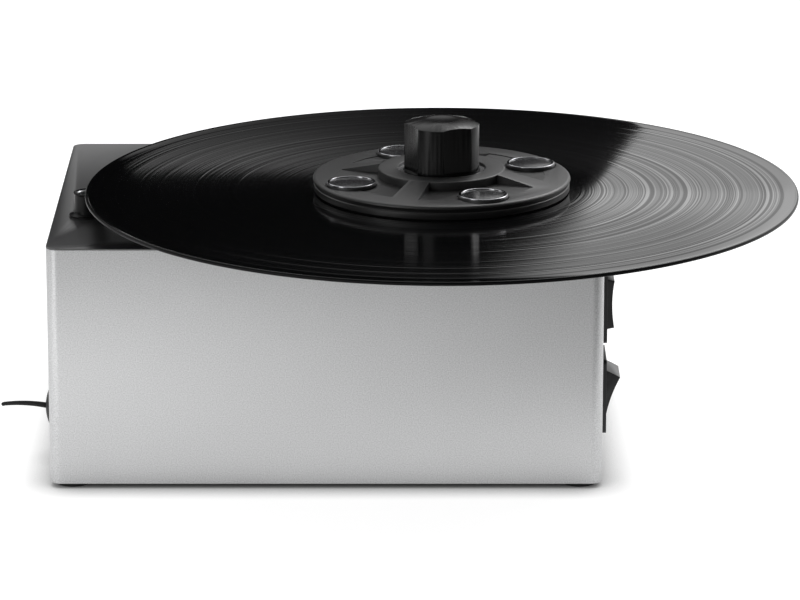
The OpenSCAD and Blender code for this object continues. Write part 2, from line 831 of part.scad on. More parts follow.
module platter() {
    web_z = platter_top_z - platter_web_t;
    rib_l = platter_r - platter_rim_w - platter_hub_r + 2;
    color("darkgray") in_frame() at_spindle() {
        rotate_extrude() polygon([
            [shaft_r + press_gap, platter_hub_z],
            [platter_hub_r, platter_hub_z],
            [platter_hub_r, web_z],
            [platter_r - platter_rim_w, web_z],
            [platter_r - platter_rim_w, platter_z],
            [platter_r - 1, platter_z],
            [platter_r, platter_z + 1],
            [platter_r, platter_top_z],
            [shaft_r + press_gap, platter_top_z]
        ]);
        for (i = [0:platter_ribs - 1]) rotate(i * 360 / platter_ribs)
            translate([platter_hub_r - 1, -platter_rib_t / 2, platter_z])
                cube([rib_l, platter_rib_t, web_z - platter_z + 0.5]);
    }
}

module platter_mat() {
    color("black") in_frame() at_spindle(platter_top_z) ring(platter_r - 1, spindle_r + 1.4, mat_t);
}

module spindle() {
    seat = platter_top_z - 1;
    shoulder = record_top_z + 1;
    tip = record_top_z + spindle_rise;
    color("silver") in_frame() at_spindle() rotate_extrude() polygon([
        [0, seat - spindle_stud_l],
        [spindle_stud_r, seat - spindle_stud_l],
        [spindle_stud_r, seat],
        [spindle_r, seat],
        [spindle_r, shoulder - 0.4],
        [thread_r, shoulder],
        [thread_r, tip - spindle_tip],
        [thread_r - spindle_tip, tip],
        [0, tip]
    ]);
}

// Record

// Half of the record's section, above its middle plane
function record_half(h_rim, h_groove, h_label) = [
    [record_hole_r, h_label],
    [label_r + 0.3, h_label],
    [label_r + 0.3, h_rim],
    [label_r + label_step_w, h_rim],
    [label_r + 2 * label_step_w, h_groove],
    [record_r - bead_w, h_groove],
    [record_r - bead_w / 2, h_rim],
    [record_r - bead_r, h_rim],
    [record_r - bead_r * 0.3, h_rim - bead_r * 0.3],
    [record_r, h_rim - bead_r]
];
function flipped(points) = [for (i = [len(points) - 1:-1:0]) [points[i][0], -points[i][1]]];

module record() {
    upper = record_half(record_t / 2, groove_area_t / 2, record_t / 2 - label_t);
    color([0.05, 0.05, 0.05]) in_frame() at_spindle(record_z + record_t / 2)
        rotate_extrude($fn = 180) polygon(concat(upper, flipped(upper)));
}

module record_labels() {
    color("lightgray") in_frame() at_spindle() for (z = [record_z, record_top_z - label_t])
        translate([0, 0, z]) ring(label_r, record_hole_r, label_t);
}

// Clamp

// Outline of one pocket between two spokes, before the hub ring and the button's boss are taken off it
module pocket_outline() {
    side = sqrt(pocket_r * pocket_r - spoke_out * spoke_out);
    inside = sqrt(hub_r * hub_r - spoke_in * spoke_in);
    flare = pocket_past * (spoke_out - spoke_in) / (side - inside);
    difference() {
        intersection() {
            circle(r = pocket_r);
            polygon([
                [inside - pocket_past, spoke_in - flare], [side + pocket_past, spoke_out + flare],
                [2 * side, 2 * side],
                [spoke_out + flare, side + pocket_past], [spoke_in - flare, inside - pocket_past]
            ]);
        }
        circle(r = hub_r - hub_overhang);
    }
}

// Half section of the clamp's side: a skirt round the seal, a wall, a fine groove and a rounded lip
function clamp_side() = concat(
    [
        [clamp_r - clamp_skirt_t, seal_t],
        [clamp_r - clamp_skirt_t, clamp_skirt_h],
        [clamp_r - clamp_step, clamp_skirt_h],
        [clamp_r - clamp_step, clamp_rim_h - clamp_lip - 2 * clamp_groove],
        [clamp_r - clamp_step - clamp_groove, clamp_rim_h - clamp_lip - clamp_groove],
        [clamp_r - clamp_step - clamp_groove, clamp_rim_h - clamp_lip]
    ],
    [
        for (a = [0:15:90])
            [clamp_r - clamp_round * (1 - cos(a)), clamp_rim_h - clamp_round * (1 - sin(a))]
    ]
);

// The spokes are what the four pockets leave of a cone that falls from the hub ring's top to the flat rim
module clamp_disc() {
    color([0.12, 0.12, 0.12]) in_frame() at_clamp() difference() {
        union() {
            difference() {
                rotate_extrude() polygon(concat(
                    [
                        [spindle_r + 1, clamp_under_h],
                        [seal_r - seal_w - free_gap, clamp_under_h],
                        [seal_r - seal_w - free_gap, seal_t]
                    ],
                    clamp_side(),
                    [
                        [pocket_r, clamp_rim_h],
                        [hub_r, hub_top_h],
                        [hub_r, hub_seat_h],
                        [hub_hole_r, hub_seat_h],
                        [hub_hole_r, clamp_floor_h],
                        [spindle_r + 1, clamp_floor_h]
                    ]
                ));
                for (i = [0:3]) rotate(button_angle - 45 + 90 * i)
                    translate([0, 0, pocket_floor_h]) linear_extrude(hub_top_h) pocket_outline();
                for (a = button_angles) rotate(a)
                    translate([button_ring_r, 0, pocket_floor_h - boss_groove_d])
                        cylinder(r = button_r + boss_gap, h = hub_top_h);
            }
            for (a = button_angles) rotate(a) translate([button_ring_r, 0, clamp_under_h + 1])
                cylinder(r = button_r + boss_rim, h = button_seat_h - clamp_under_h - 1);
        }
        for (a = button_angles) rotate(a)
            translate([button_ring_r, 0, button_seat_h - button_well_d])
                cylinder(r = button_r - button_ring_w / 2 + press_gap, h = 4);
    }
}

module clamp_seal() {
    color("black") in_frame() at_clamp() ring(seal_r, seal_r - seal_w, seal_t);
}

module hub_ring() {
    groove_r = hub_hole_r + circlip_bite + press_gap;
    color([0.15, 0.15, 0.15]) in_frame() at_clamp() rotate_extrude() polygon([
        [hub_hole_r, hub_seat_h],
        [hub_r - press_gap, hub_seat_h],
        [hub_r - press_gap, hub_top_h - 0.6],
        [hub_r - 0.6, hub_top_h],
        [hub_hole_r + 0.4, hub_top_h],
        [hub_hole_r, hub_top_h - 0.4],
        [hub_hole_r, circlip_h + circlip_t],
        [groove_r, circlip_h + circlip_t],
        [groove_r, circlip_h],
        [hub_hole_r, circlip_h]
    ]);
}

module knob_washer() {
    color("silver") in_frame() at_clamp() translate([0, 0, clamp_floor_h])
        ring(knob_foot_r, insert_r + 0.5, washer_h);
}

module knob_circlip() {
    gap_angle = 24;
    color("silver") in_frame() at_clamp() translate([0, 0, circlip_h]) difference() {
        ring(hub_hole_r + circlip_bite, circlip_in_r, circlip_t);
        translate([0, 0, -1]) linear_extrude(circlip_t + 2) polygon([
            [0, 0], polar(2 * hub_r, 90 - gap_angle / 2), polar(2 * hub_r, 90 + gap_angle / 2)
        ]);
    }
}

module button_rings() {
    inner = button_r - button_ring_w;
    color("silver") in_frame() at_clamp() for (a = button_angles) rotate(a)
        translate([button_ring_r, 0, button_seat_h]) rotate_extrude() polygon([
            [inner, -button_well_d],
            [button_r - button_ring_w / 2, -button_well_d],
            [button_r - button_ring_w / 2, 0],
            [button_r, 0],
            [button_r, button_ring_h * 0.5],
            [button_r - 0.35, button_ring_h],
            [inner + 0.3, button_ring_h],
            [inner, button_ring_h - 0.3]
        ]);
}

// Slightly domed discs inside the chrome rings
module button_caps() {
    cap_r = button_r - button_ring_w - press_gap;
    dome_r = (cap_r * cap_r + cap_dome_h * cap_dome_h) / (2 * cap_dome_h);
    base = button_well_d + button_ring_h - 0.4;
    color("gray") in_frame() at_clamp() for (a = button_angles) rotate(a)
        translate([button_ring_r, 0, button_seat_h - button_well_d]) intersection() {
            cylinder(r = cap_r, h = base + cap_dome_h + 1);
            translate([0, 0, base + cap_dome_h - dome_r]) sphere(r = dome_r, $fn = 360);
        }
}

module knob_outline() {
    reach = knob_r - scallop_d + scallop_r;
    difference() {
        circle(r = knob_r);
        for (i = [0:3]) rotate(scallop_angle + 90 * i) translate([reach, 0]) circle(r = scallop_r);
    }
}

module clamp_knob() {
    edge = knob_edge_h - clamp_floor_h - washer_h;
    top = knob_top_h - clamp_floor_h - washer_h;
    spindle_top = spindle_rise - clamp_floor_h - washer_h;
    dish_r = (knob_dish_r * knob_dish_r + knob_dish_d * knob_dish_d) / (2 * knob_dish_d);
    bore_end = min(spindle_top + 1.5, top - knob_top_web);
    color([0.08, 0.08, 0.08]) in_frame() at_spindle(knob_z) difference() {
        union() {
            intersection() {
                linear_extrude(top) knob_outline();
                rotate_extrude() polygon([
                    [0, 0], [knob_r + 1, 0], [knob_r + 1, edge - (top - edge) / (knob_r - knob_dish_r)],
                    [knob_dish_r, top], [0, top]
                ]);
            }
            cylinder(r = knob_foot_r, h = knob_foot_h);
            cylinder(r = knob_r, h = knob_foot_h + knob_neck_h);
        }
        translate([0, 0, top - knob_dish_d + dish_r]) sphere(r = dish_r, $fn = 180);
        translate([0, 0, -1]) cylinder(r = insert_r + press_gap, h = insert_l + insert_up + 1.2);
        translate([0, 0, -1]) cylinder(r = thread_r + free_gap, h = bore_end + 1);
    }
}

module knob_insert() {
    color("goldenrod") in_frame() at_spindle(knob_z + insert_up)
        ring(insert_r, thread_r + run_gap, insert_l);
}

// Arm socket with its sprung, turning sleeve

module arm_socket() {
    lip = 0.3;
    color([0.08, 0.08, 0.08]) in_frame() at_arm(top_z) rotate_extrude() polygon(concat(
        [
            [socket_bore_r, -top_plate_t - neck_l],
            [neck_r, -top_plate_t - neck_l],
            [neck_r, 0],
            [socket_foot_r, 0],
            [socket_foot_r, 0.5]
        ],
        [for (a = [0:15:90])
            [socket_r + (socket_foot_r - socket_r) * (1 - sin(a)),
             0.5 + (socket_foot_h - 0.5) * (1 - cos(a))]],
        [
            [socket_r, socket_h - 1],
            [socket_r + lip, socket_h - 0.7],
            [socket_r + lip, socket_h - 0.2],
            [socket_r + lip - 0.2, socket_h],
            [socket_bore_r, socket_h]
        ]
    ));
}

module socket_nut() {
    color("gray") in_frame() at_arm(under_top_z - socket_nut_h) difference() {
        hexagon(socket_nut_r, socket_nut_h);
        translate([0, 0, -1]) cylinder(r = neck_r + press_gap, h = socket_nut_h + 2);
    }
}

module arm_sleeve() {
    bottom = boss_top_z - arm_boss_h + 1;
    top = top_z + socket_h - 0.4;
    color("lightgray") in_frame() at_arm() rotate_extrude() polygon([
        [arm_bore_r, bottom],
        [sleeve_r, bottom],
        [sleeve_r, collar_top],
        [neck_r, collar_top],
        [neck_r, shoulder_top_z],
        [sleeve_r, shoulder_top_z],
        [sleeve_r, top],
        [arm_bore_r + 0.4, top],
        [arm_bore_r, top - 0.4]
    ]);
}

module spring_collar() {
    color("white") in_frame() at_arm(collar_z) ring(collar_r, sleeve_r + run_gap, collar_t);
}

module arm_spring() {
    steps = 16;
    sides = 8;
    bottom = boss_top_z + spring_wire_r + spring_seat_gap;
    rise = collar_z - spring_seat_gap - spring_wire_r - bottom;
    rings = steps * spring_turns;
    route = [for (i = [0:rings]) [
        spring_r * cos(360 * i / steps), spring_r * sin(360 * i / steps), bottom + rise * i / rings
    ]];
    color("silver") in_frame() at_arm() swept_rod(route, [for (i = [0:rings]) spring_wire_r], sides);
}

// Rocker switches, drawn with their bezel's back on the case wall and X pointing out

module switch_housing() {
    difference() {
        union() {
            rotate([0, 90, 0]) linear_extrude(bezel_t) round_rect(bezel_h, bezel_w, 1.6);
            translate([-switch_body_depth, -switch_body_w / 2, -switch_body_h / 2])
                cube([switch_body_depth + 0.5, switch_body_w, switch_body_h]);
        }
        translate([well_floor_u, -well_w / 2, -well_h / 2])
            cube([bezel_t - well_floor_u + 1, well_w, well_h]);
        translate([pivot_u, 0, 0]) rotate([90, 0, 0])
            cylinder(r = rocker_pin_r + press_gap, h = switch_body_w + 2, center = true);
    }
}

// A rocker about its pin: a hollow outer face, flanks that sweep past the well, and a keel below
module rocker() {
    half = rocker_h / 2;
    face_r = (half * half + rocker_sag * rocker_sag) / (2 * rocker_sag);
    rotate([90, 0, 0]) difference() {
        linear_extrude(rocker_w, center = true) difference() {
            polygon([
                [crest_u, half], [crest_u - 3, half + 0.6], [0.5, half + 1.1], [-1.6, half - 0.4],
                [-rocker_keel, 3], [-rocker_keel, -3],
                [-1.6, -half + 0.4], [0.5, -half - 1.1], [crest_u - 3, -half - 0.6], [crest_u, -half]
            ]);
            translate([crest_u - rocker_sag + face_r, 0]) circle(r = face_r, $fn = 360);
        }
        cylinder(r = rocker_pin_r + run_gap, h = rocker_w + 2, center = true);
    }
}

module direction_switch() color([0.1, 0.1, 0.1]) in_frame() at_switch(upper_switch_z) switch_housing();

module vacuum_switch() color([0.1, 0.1, 0.1]) in_frame() at_switch(lower_switch_z) switch_housing();

module direction_rocker() {
    color([0.13, 0.13, 0.13]) in_frame() at_switch(upper_switch_z) translate([pivot_u, 0, 0]) rocker();
}

module vacuum_rocker() {
    color([0.13, 0.13, 0.13]) in_frame() at_switch(lower_switch_z) translate([pivot_u, 0, 0])
        rotate([0, rocker_tilt, 0]) rocker();
}

module rocker_pins() {
    color("silver") in_frame() for (z = [upper_switch_z, lower_switch_z]) at_switch(z)
        translate([pivot_u, 0, 0]) rotate([90, 0, 0])
            cylinder(r = rocker_pin_r, h = switch_body_w, center = true);
}

module switch_terminals() {
    color("goldenrod") in_frame() for (z = [upper_switch_z, lower_switch_z], row = [-1, 0, 1]) at_switch(z)
        translate([-switch_body_depth - terminal_l / 2, 0, row * switch_body_h / 4])
            cube([terminal_l, terminal_w, terminal_t], center = true);
}

// Waste tank and drain

module tank_outline(shrink) {
    translate([tank_x0 + tank_w / 2, tank_y0 + tank_l / 2])
        round_rect(tank_w - 2 * shrink, tank_l - 2 * shrink, tank_r - shrink);
}

module waste_tank() {
    stub_l = -stub_end_x + tank_x0 + tank_wall;
    color("gainsboro") in_frame() difference() {
        union() {
            difference() {
                translate([0, 0, floor_z]) linear_extrude(tank_h) tank_outline(0);
                translate([0, 0, floor_z + tank_wall]) linear_extrude(tank_h) tank_outline(tank_wall);
            }
            at_drain() translate([0, 0, -tank_x0 - tank_wall])
                cylinder(r = drain_bore_r + drain_wall, h = stub_l);
        }
        at_drain() translate([0, 0, -tank_x0 - tank_wall - 1])
            cylinder(r = drain_bore_r, h = stub_l + 2);
    }
}

module tank_lid() {
    lip_gap = 0.2;
    color("gainsboro") in_frame() difference() {
        union() {
            translate([0, 0, tank_top_z]) linear_extrude(lid_t) tank_outline(0);
            translate([0, 0, tank_top_z - lid_rebate]) linear_extrude(lid_rebate + 0.5)
                tank_outline(tank_wall + lip_gap);
            at_arm(lid_top_z - 0.5) cylinder(r = arm_boss_r, h = arm_boss_h + 0.5);
            translate([spigot_x, spigot_y, lid_top_z - 0.5])
                cylinder(r = hose_in_r - press_gap, h = spigot_h + 0.5);
        }
        at_arm(tank_top_z - lid_rebate - 1)
            cylinder(r = sleeve_r + run_gap, h = boss_top_z - tank_top_z + lid_rebate + 2);
        translate([spigot_x, spigot_y, tank_top_z - lid_rebate - 1])
            cylinder(r = hose_in_r - spigot_wall, h = lid_rebate + lid_t + spigot_h + 2);
    }
}

module drain_plug() {
    seat = -stub_end_x;
    rise = case_w / 2 + plug_proud - seat;
    dome_r = (plug_r * plug_r + rise * rise) / (2 * rise);
    color([0.07, 0.07, 0.07]) in_frame() at_drain() {
        translate([0, 0, seat - plug_stem_l]) cylinder(r = drain_bore_r - run_gap, h = plug_stem_l + 0.5);
        intersection() {
            translate([0, 0, seat]) cylinder(r = plug_r - 0.4, h = rise + 1);
            translate([0, 0, seat + rise - dome_r]) sphere(r = dome_r, $fn = 180);
        }
    }
}

// The pull tab bows up a little, tapers outwards and ends in a small bead
module drain_tab() {
    rings = 14;
    start = -case_w / 2 - plug_proud + tab_root_sink;
    crest = 0.6 * tab_l;
    body = [for (i = [0:rings]) let (s = tab_l * 0.93 * i / rings) [
        start - tab_root_sink * i / rings - s,
        drain_y,
        drain_z + tab_bow * (1 - pow((s - crest) / crest, 2))
    ]];
    body_radii = [for (i = [0:rings]) tab_root_r + (tab_end_r - tab_root_r) * i / rings];
    bead_z = drain_z + tab_bow * (1 - pow((tab_l - crest) / crest, 2));
    bead = [for (s = [0.955, 0.98, 1]) [-case_w / 2 - plug_proud - tab_l * s, drain_y, bead_z]];
    bead_radii = tab_end_r * [1.05, 0.9, 0.35];
    color([0.07, 0.07, 0.07]) in_frame()
        swept_rod(concat(body, bead), concat(body_radii, bead_radii), 12);
}

// Vacuum motor, fan and suction hose

module vacuum_cradle() {
    inside = vac_motor_r + motor_ring_t;
    color("dimgray") in_frame() at_vacuum(floor_z) {
        difference() {
            union() {
                cylinder(r = cradle_r, h = cradle_t);
                cylinder(r = inside + cradle_wall_t, h = cradle_t + cradle_wall_h);
            }
            translate([0, 0, cradle_t]) cylinder(r = inside, h = cradle_wall_h + 1);
            translate([0, 0, -1]) cylinder(r = vac_motor_r - cradle_ledge, h = cradle_t + 2);
        }
    }
}

module motor_ring() {
    color("black") in_frame() at_vacuum(vac_motor_z)
        ring(vac_motor_r + motor_ring_t - press_gap, vac_motor_r + press_gap, cradle_wall_h);
}

module vacuum_motor() {
    color("gray") in_frame() at_vacuum(vac_motor_z) difference() {
        rotate_extrude() polygon([
            [0, 0],
            [vac_motor_r - vac_motor_edge, 0],
            [vac_motor_r, vac_motor_edge],
            [vac_motor_r, 0.62 * vac_motor_h],
            [vac_neck_r, 0.72 * vac_motor_h],
            [vac_neck_r, vac_motor_h],
            [0, vac_motor_h]
        ]);
        translate([0, 0, vac_motor_h / 2])
            cylinder(r = impeller_shaft_r + run_gap, h = vac_motor_h);
    }
}

module fan_shroud() {
    color("lightsteelblue") in_frame() at_vacuum(shroud_z) difference() {
        cylinder(r = shroud_r, h = shroud_h);
        translate([0, 0, shroud_t]) cylinder(r = shroud_r - shroud_t, h = shroud_h - 2 * shroud_t);
        translate([0, 0, -1]) cylinder(r = shroud_shaft_r, h = shroud_t + 2);
        translate([0, 0, shroud_h - shroud_t - 1]) cylinder(r = shroud_inlet_r, h = shroud_t + 2);
        for (i = [0:exhaust_count - 1]) rotate((i + 0.5) * 360 / exhaust_count)
            translate([shroud_r - exhaust_w / 2, -exhaust_w / 2, shroud_t + 1])
                cube([exhaust_w, exhaust_w, exhaust_h]);
    }
}

// One blade is a slice of a thin ring, set so that it leans back against the turn
module blade_outline() {
    curve_r = impeller_r * 0.62;
    intersection() {
        difference() {
            circle(r = impeller_r - 0.5);
            circle(r = impeller_eye_r + 1);
        }
        translate([impeller_r * 0.32, -curve_r]) difference() {
            circle(r = curve_r + blade_t / 2);
            circle(r = curve_r - blade_t / 2);
        }
        translate([0, -impeller_r * 0.3]) square([impeller_r, impeller_r]);
    }
}

module impeller() {
    shaft_z = vac_motor_z + vac_motor_h / 2 + 1;
    back = impeller_z + impeller_plate_t;
    front = impeller_z + impeller_h - impeller_plate_t;
    color("silver") in_frame() at_vacuum() {
        translate([0, 0, shaft_z]) cylinder(r = impeller_shaft_r, h = impeller_z + 1 - shaft_z);
        translate([0, 0, impeller_z]) cylinder(r = impeller_r, h = impeller_plate_t);
        translate([0, 0, impeller_z]) cylinder(r = impeller_hub_r, h = impeller_hub_r);
        translate([0, 0, front]) ring(impeller_r, impeller_eye_r, impeller_plate_t);
        for (i = [0:blade_count - 1]) rotate(i * 360 / blade_count)
            translate([0, 0, back - 0.2]) linear_extrude(front - back + 0.4) blade_outline();
    }
}

module inlet_gasket() {
    color("black") in_frame() at_vacuum(shroud_top_z) ring(shroud_inlet_r + 4, hose_in_r, gasket_t);
}

module hose_section() {
    difference() {
        circle(r = hose_r);
        circle(r = hose_in_r);
    }
}

module hose_bend() rotate([90, 0, 0]) rotate_extrude(angle = 90) translate([hose_bend_r, 0]) hose_section();

// The hose lies in the upright plane through the tank's spigot and the fan's inlet
module suction_hose() {
    tank_leg = hose_z + hose_leg - lid_top_z;
    color([0.2, 0.2, 0.2]) in_frame() translate([spigot_x, spigot_y, 0]) rotate(hose_angle) {
        translate([hose_reach, 0, hose_z]) linear_extrude(hose_leg) hose_section();
        translate([hose_reach - hose_bend_r, 0, hose_z + hose_leg]) hose_bend();
        translate([hose_bend_r, 0, hose_run_z]) rotate([0, 90, 0])
            linear_extrude(hose_reach - 2 * hose_bend_r) hose_section();
        translate([hose_bend_r, 0, hose_z + hose_leg]) mirror([1, 0, 0]) hose_bend();
        translate([0, 0, lid_top_z]) linear_extrude(tank_leg) hose_section();
    }
}

// Mains inlet, drawn with X along its width, Y up and Z pointing out of the case's back

module mains_inlet() {
    color([0.1, 0.1, 0.1]) in_frame() at_inlet() mirror([0, 0, 1]) difference() {
        union() {
            linear_extrude(inlet_flange_t) round_rect(inlet_flange_w, inlet_flange_h, 5);
            translate([-inlet_body_w / 2, -inlet_body_h / 2, -inlet_body_depth])
                cube([inlet_body_w, inlet_body_h, inlet_body_depth + 0.5]);
        }
        translate([0, 0, inlet_flange_t - inlet_well_depth]) linear_extrude(inlet_well_depth + 1)
            inlet_well_outline();
        for (s = [-1, 1]) translate([s * inlet_screw_x, 0, -1])
            cylinder(r = screw_r + press_gap, h = inlet_flange_t + 2);
    }
}

module inlet_well_outline() {
    cut = 4;
    polygon([
        [-inlet_well_w / 2, -inlet_well_h / 2], [inlet_well_w / 2, -inlet_well_h / 2],
        [inlet_well_w / 2, inlet_well_h / 2 - cut], [inlet_well_w / 2 - cut, inlet_well_h / 2],
        [-inlet_well_w / 2 + cut, inlet_well_h / 2], [-inlet_well_w / 2, inlet_well_h / 2 - cut]
    ]);
}

module inlet_pins() {
    inner = inlet_flange_t - inlet_well_depth;
    length = inlet_well_depth - inlet_pin_recess;
    pin_y = [-1, 3, -1];
    color("silver") in_frame() at_inlet() mirror([0, 0, 1]) for (k = [-1, 0, 1]) {
        translate([k * inlet_pin_pitch, pin_y[k + 1], inner + length / 2])
            cube([inlet_pin_w, inlet_pin_h, length], center = true);
        translate([k * inlet_pin_pitch, pin_y[k + 1], -inlet_body_depth - inlet_tab_l / 2])
            cube([terminal_t, inlet_pin_h, inlet_tab_l], center = true);
    }
}

module inlet_screws() {
    color("silver") in_frame() at_inlet() mirror([0, 0, 1]) for (s = [-1, 1])
        translate([s * inlet_screw_x, 0, 0]) {
            translate([0, 0, inlet_flange_t]) cylinder(r1 = 2.8, r2 = 2.2, h = 1.2);
            translate([0, 0, inlet_flange_t - inlet_screw_l]) cylinder(r = screw_r, h = inlet_screw_l + 0.5);
        }
}

// Circuit board on four posts

function board_corners() = [
    for (x = [board_corner, board_w - board_corner], y = [board_corner, board_l - board_corner])
        [board_x0 + x, board_y0 + y]
];

module board_posts() {
    color("lightgray") in_frame() for (p = board_corners()) translate([p[0], p[1], floor_z])
        cylinder(r = board_post_r, h = board_lift);
}

module power_board() {
    color("darkgreen") in_frame() translate([board_x0, board_y0, board_z])
        cube([board_w, board_l, board_t]);
}

// A transformer, two capacitors, a heat sink and a row of terminals
module board_parts() {
    top = board_z + board_t;
    color("darkorange") in_frame() translate([board_x0, board_y0, top]) {
        translate(transformer_at) cube(transformer_size);
        for (y = capacitor_ys) translate([capacitor_x, y]) cylinder(r = capacitor_r, h = capacitor_h);
        translate(heat_sink_at) cube(heat_sink_size);
        for (i = [0:3]) translate(terminal_at + [terminal_pitch * i, 0]) cube(terminal_size);
    }
}

case_sleeve();
top_plate();
bottom_plate();
corner_posts();
feet();
foot_screws();
bearing_housing();
bearing_bushes();
bearing_nuts();
thrust_washer();
motor_bracket();
bracket_standoffs();
bracket_screws();
gearmotor();
motor_shaft();
motor_pinion();
turntable_shaft();
turntable_gear();
platter();
platter_mat();
spindle();
record();
record_labels();
clamp_disc();
clamp_seal();
hub_ring();
knob_washer();
knob_circlip();
button_rings();
button_caps();
clamp_knob();
knob_insert();
arm_socket();
socket_nut();
arm_sleeve();
spring_collar();
arm_spring();
direction_switch();
direction_rocker();
vacuum_switch();
vacuum_rocker();
rocker_pins();
switch_terminals();
waste_tank();
tank_lid();
drain_plug();
drain_tab();
vacuum_cradle();
motor_ring();
vacuum_motor();
fan_shroud();
impeller();
inlet_gasket();
suction_hose();
mains_inlet();
inlet_pins();
inlet_screws();
board_posts();
power_board();
board_parts();
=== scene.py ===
"""Looks of a record cleaning machine: a metal case with a twelve inch record clamped over it.

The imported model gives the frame. Each sub-assembly below is a class that dresses its own pieces,
and each finish is a frozen dataclass that builds one material. Sizes are millimetres, and metres
where a docstring says so.
"""

import json
import logging
import math
from dataclasses import dataclass
from enum import Enum
from typing import Any, Callable

import bmesh
import bpy
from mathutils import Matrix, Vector

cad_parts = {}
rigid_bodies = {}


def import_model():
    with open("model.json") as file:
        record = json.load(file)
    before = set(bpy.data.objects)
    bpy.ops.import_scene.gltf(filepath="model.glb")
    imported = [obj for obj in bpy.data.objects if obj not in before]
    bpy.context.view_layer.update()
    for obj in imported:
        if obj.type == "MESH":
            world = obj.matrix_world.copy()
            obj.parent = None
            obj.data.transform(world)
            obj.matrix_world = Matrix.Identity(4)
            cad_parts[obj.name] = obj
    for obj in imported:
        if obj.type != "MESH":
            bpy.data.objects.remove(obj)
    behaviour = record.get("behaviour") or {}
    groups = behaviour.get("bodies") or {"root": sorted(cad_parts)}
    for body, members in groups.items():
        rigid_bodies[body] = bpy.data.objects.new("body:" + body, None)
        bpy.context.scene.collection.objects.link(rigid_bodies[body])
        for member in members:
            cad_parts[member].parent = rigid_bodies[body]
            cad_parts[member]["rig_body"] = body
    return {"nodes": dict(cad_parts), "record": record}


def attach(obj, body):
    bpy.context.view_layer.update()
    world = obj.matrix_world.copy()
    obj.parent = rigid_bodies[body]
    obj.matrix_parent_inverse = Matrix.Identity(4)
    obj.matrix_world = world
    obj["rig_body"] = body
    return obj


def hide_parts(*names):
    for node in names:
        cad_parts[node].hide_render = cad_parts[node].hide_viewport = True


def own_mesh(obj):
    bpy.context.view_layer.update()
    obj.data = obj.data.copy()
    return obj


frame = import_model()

LOG = logging.getLogger("record_machine")
MM = 0.001

Point = tuple[float, float]
Triple = tuple[float, float, float]
Socket = bpy.types.NodeSocket

# Places shared by several pieces, from the part's origin
SPINDLE = (18.65, 0.0)
RECORD_BOTTOM = 115.6
RECORD_TOP = 117.2


def at(x: float, y: float, z: float) -> Vector:
    """Returns a place given in millimetres as a vector in metres."""
    return Vector((x, y, z)) * MM


def spread(start: float, end: float, steps: int) -> list[float]:
    """Returns evenly spaced values from start to end, in a number of steps."""
    return [start + (end - start) * k / steps for k in range(steps + 1)]


def rgba(colour: Triple) -> tuple[float, float, float, float]:
    """Returns a colour with full opacity."""
    return (*colour, 1.0)


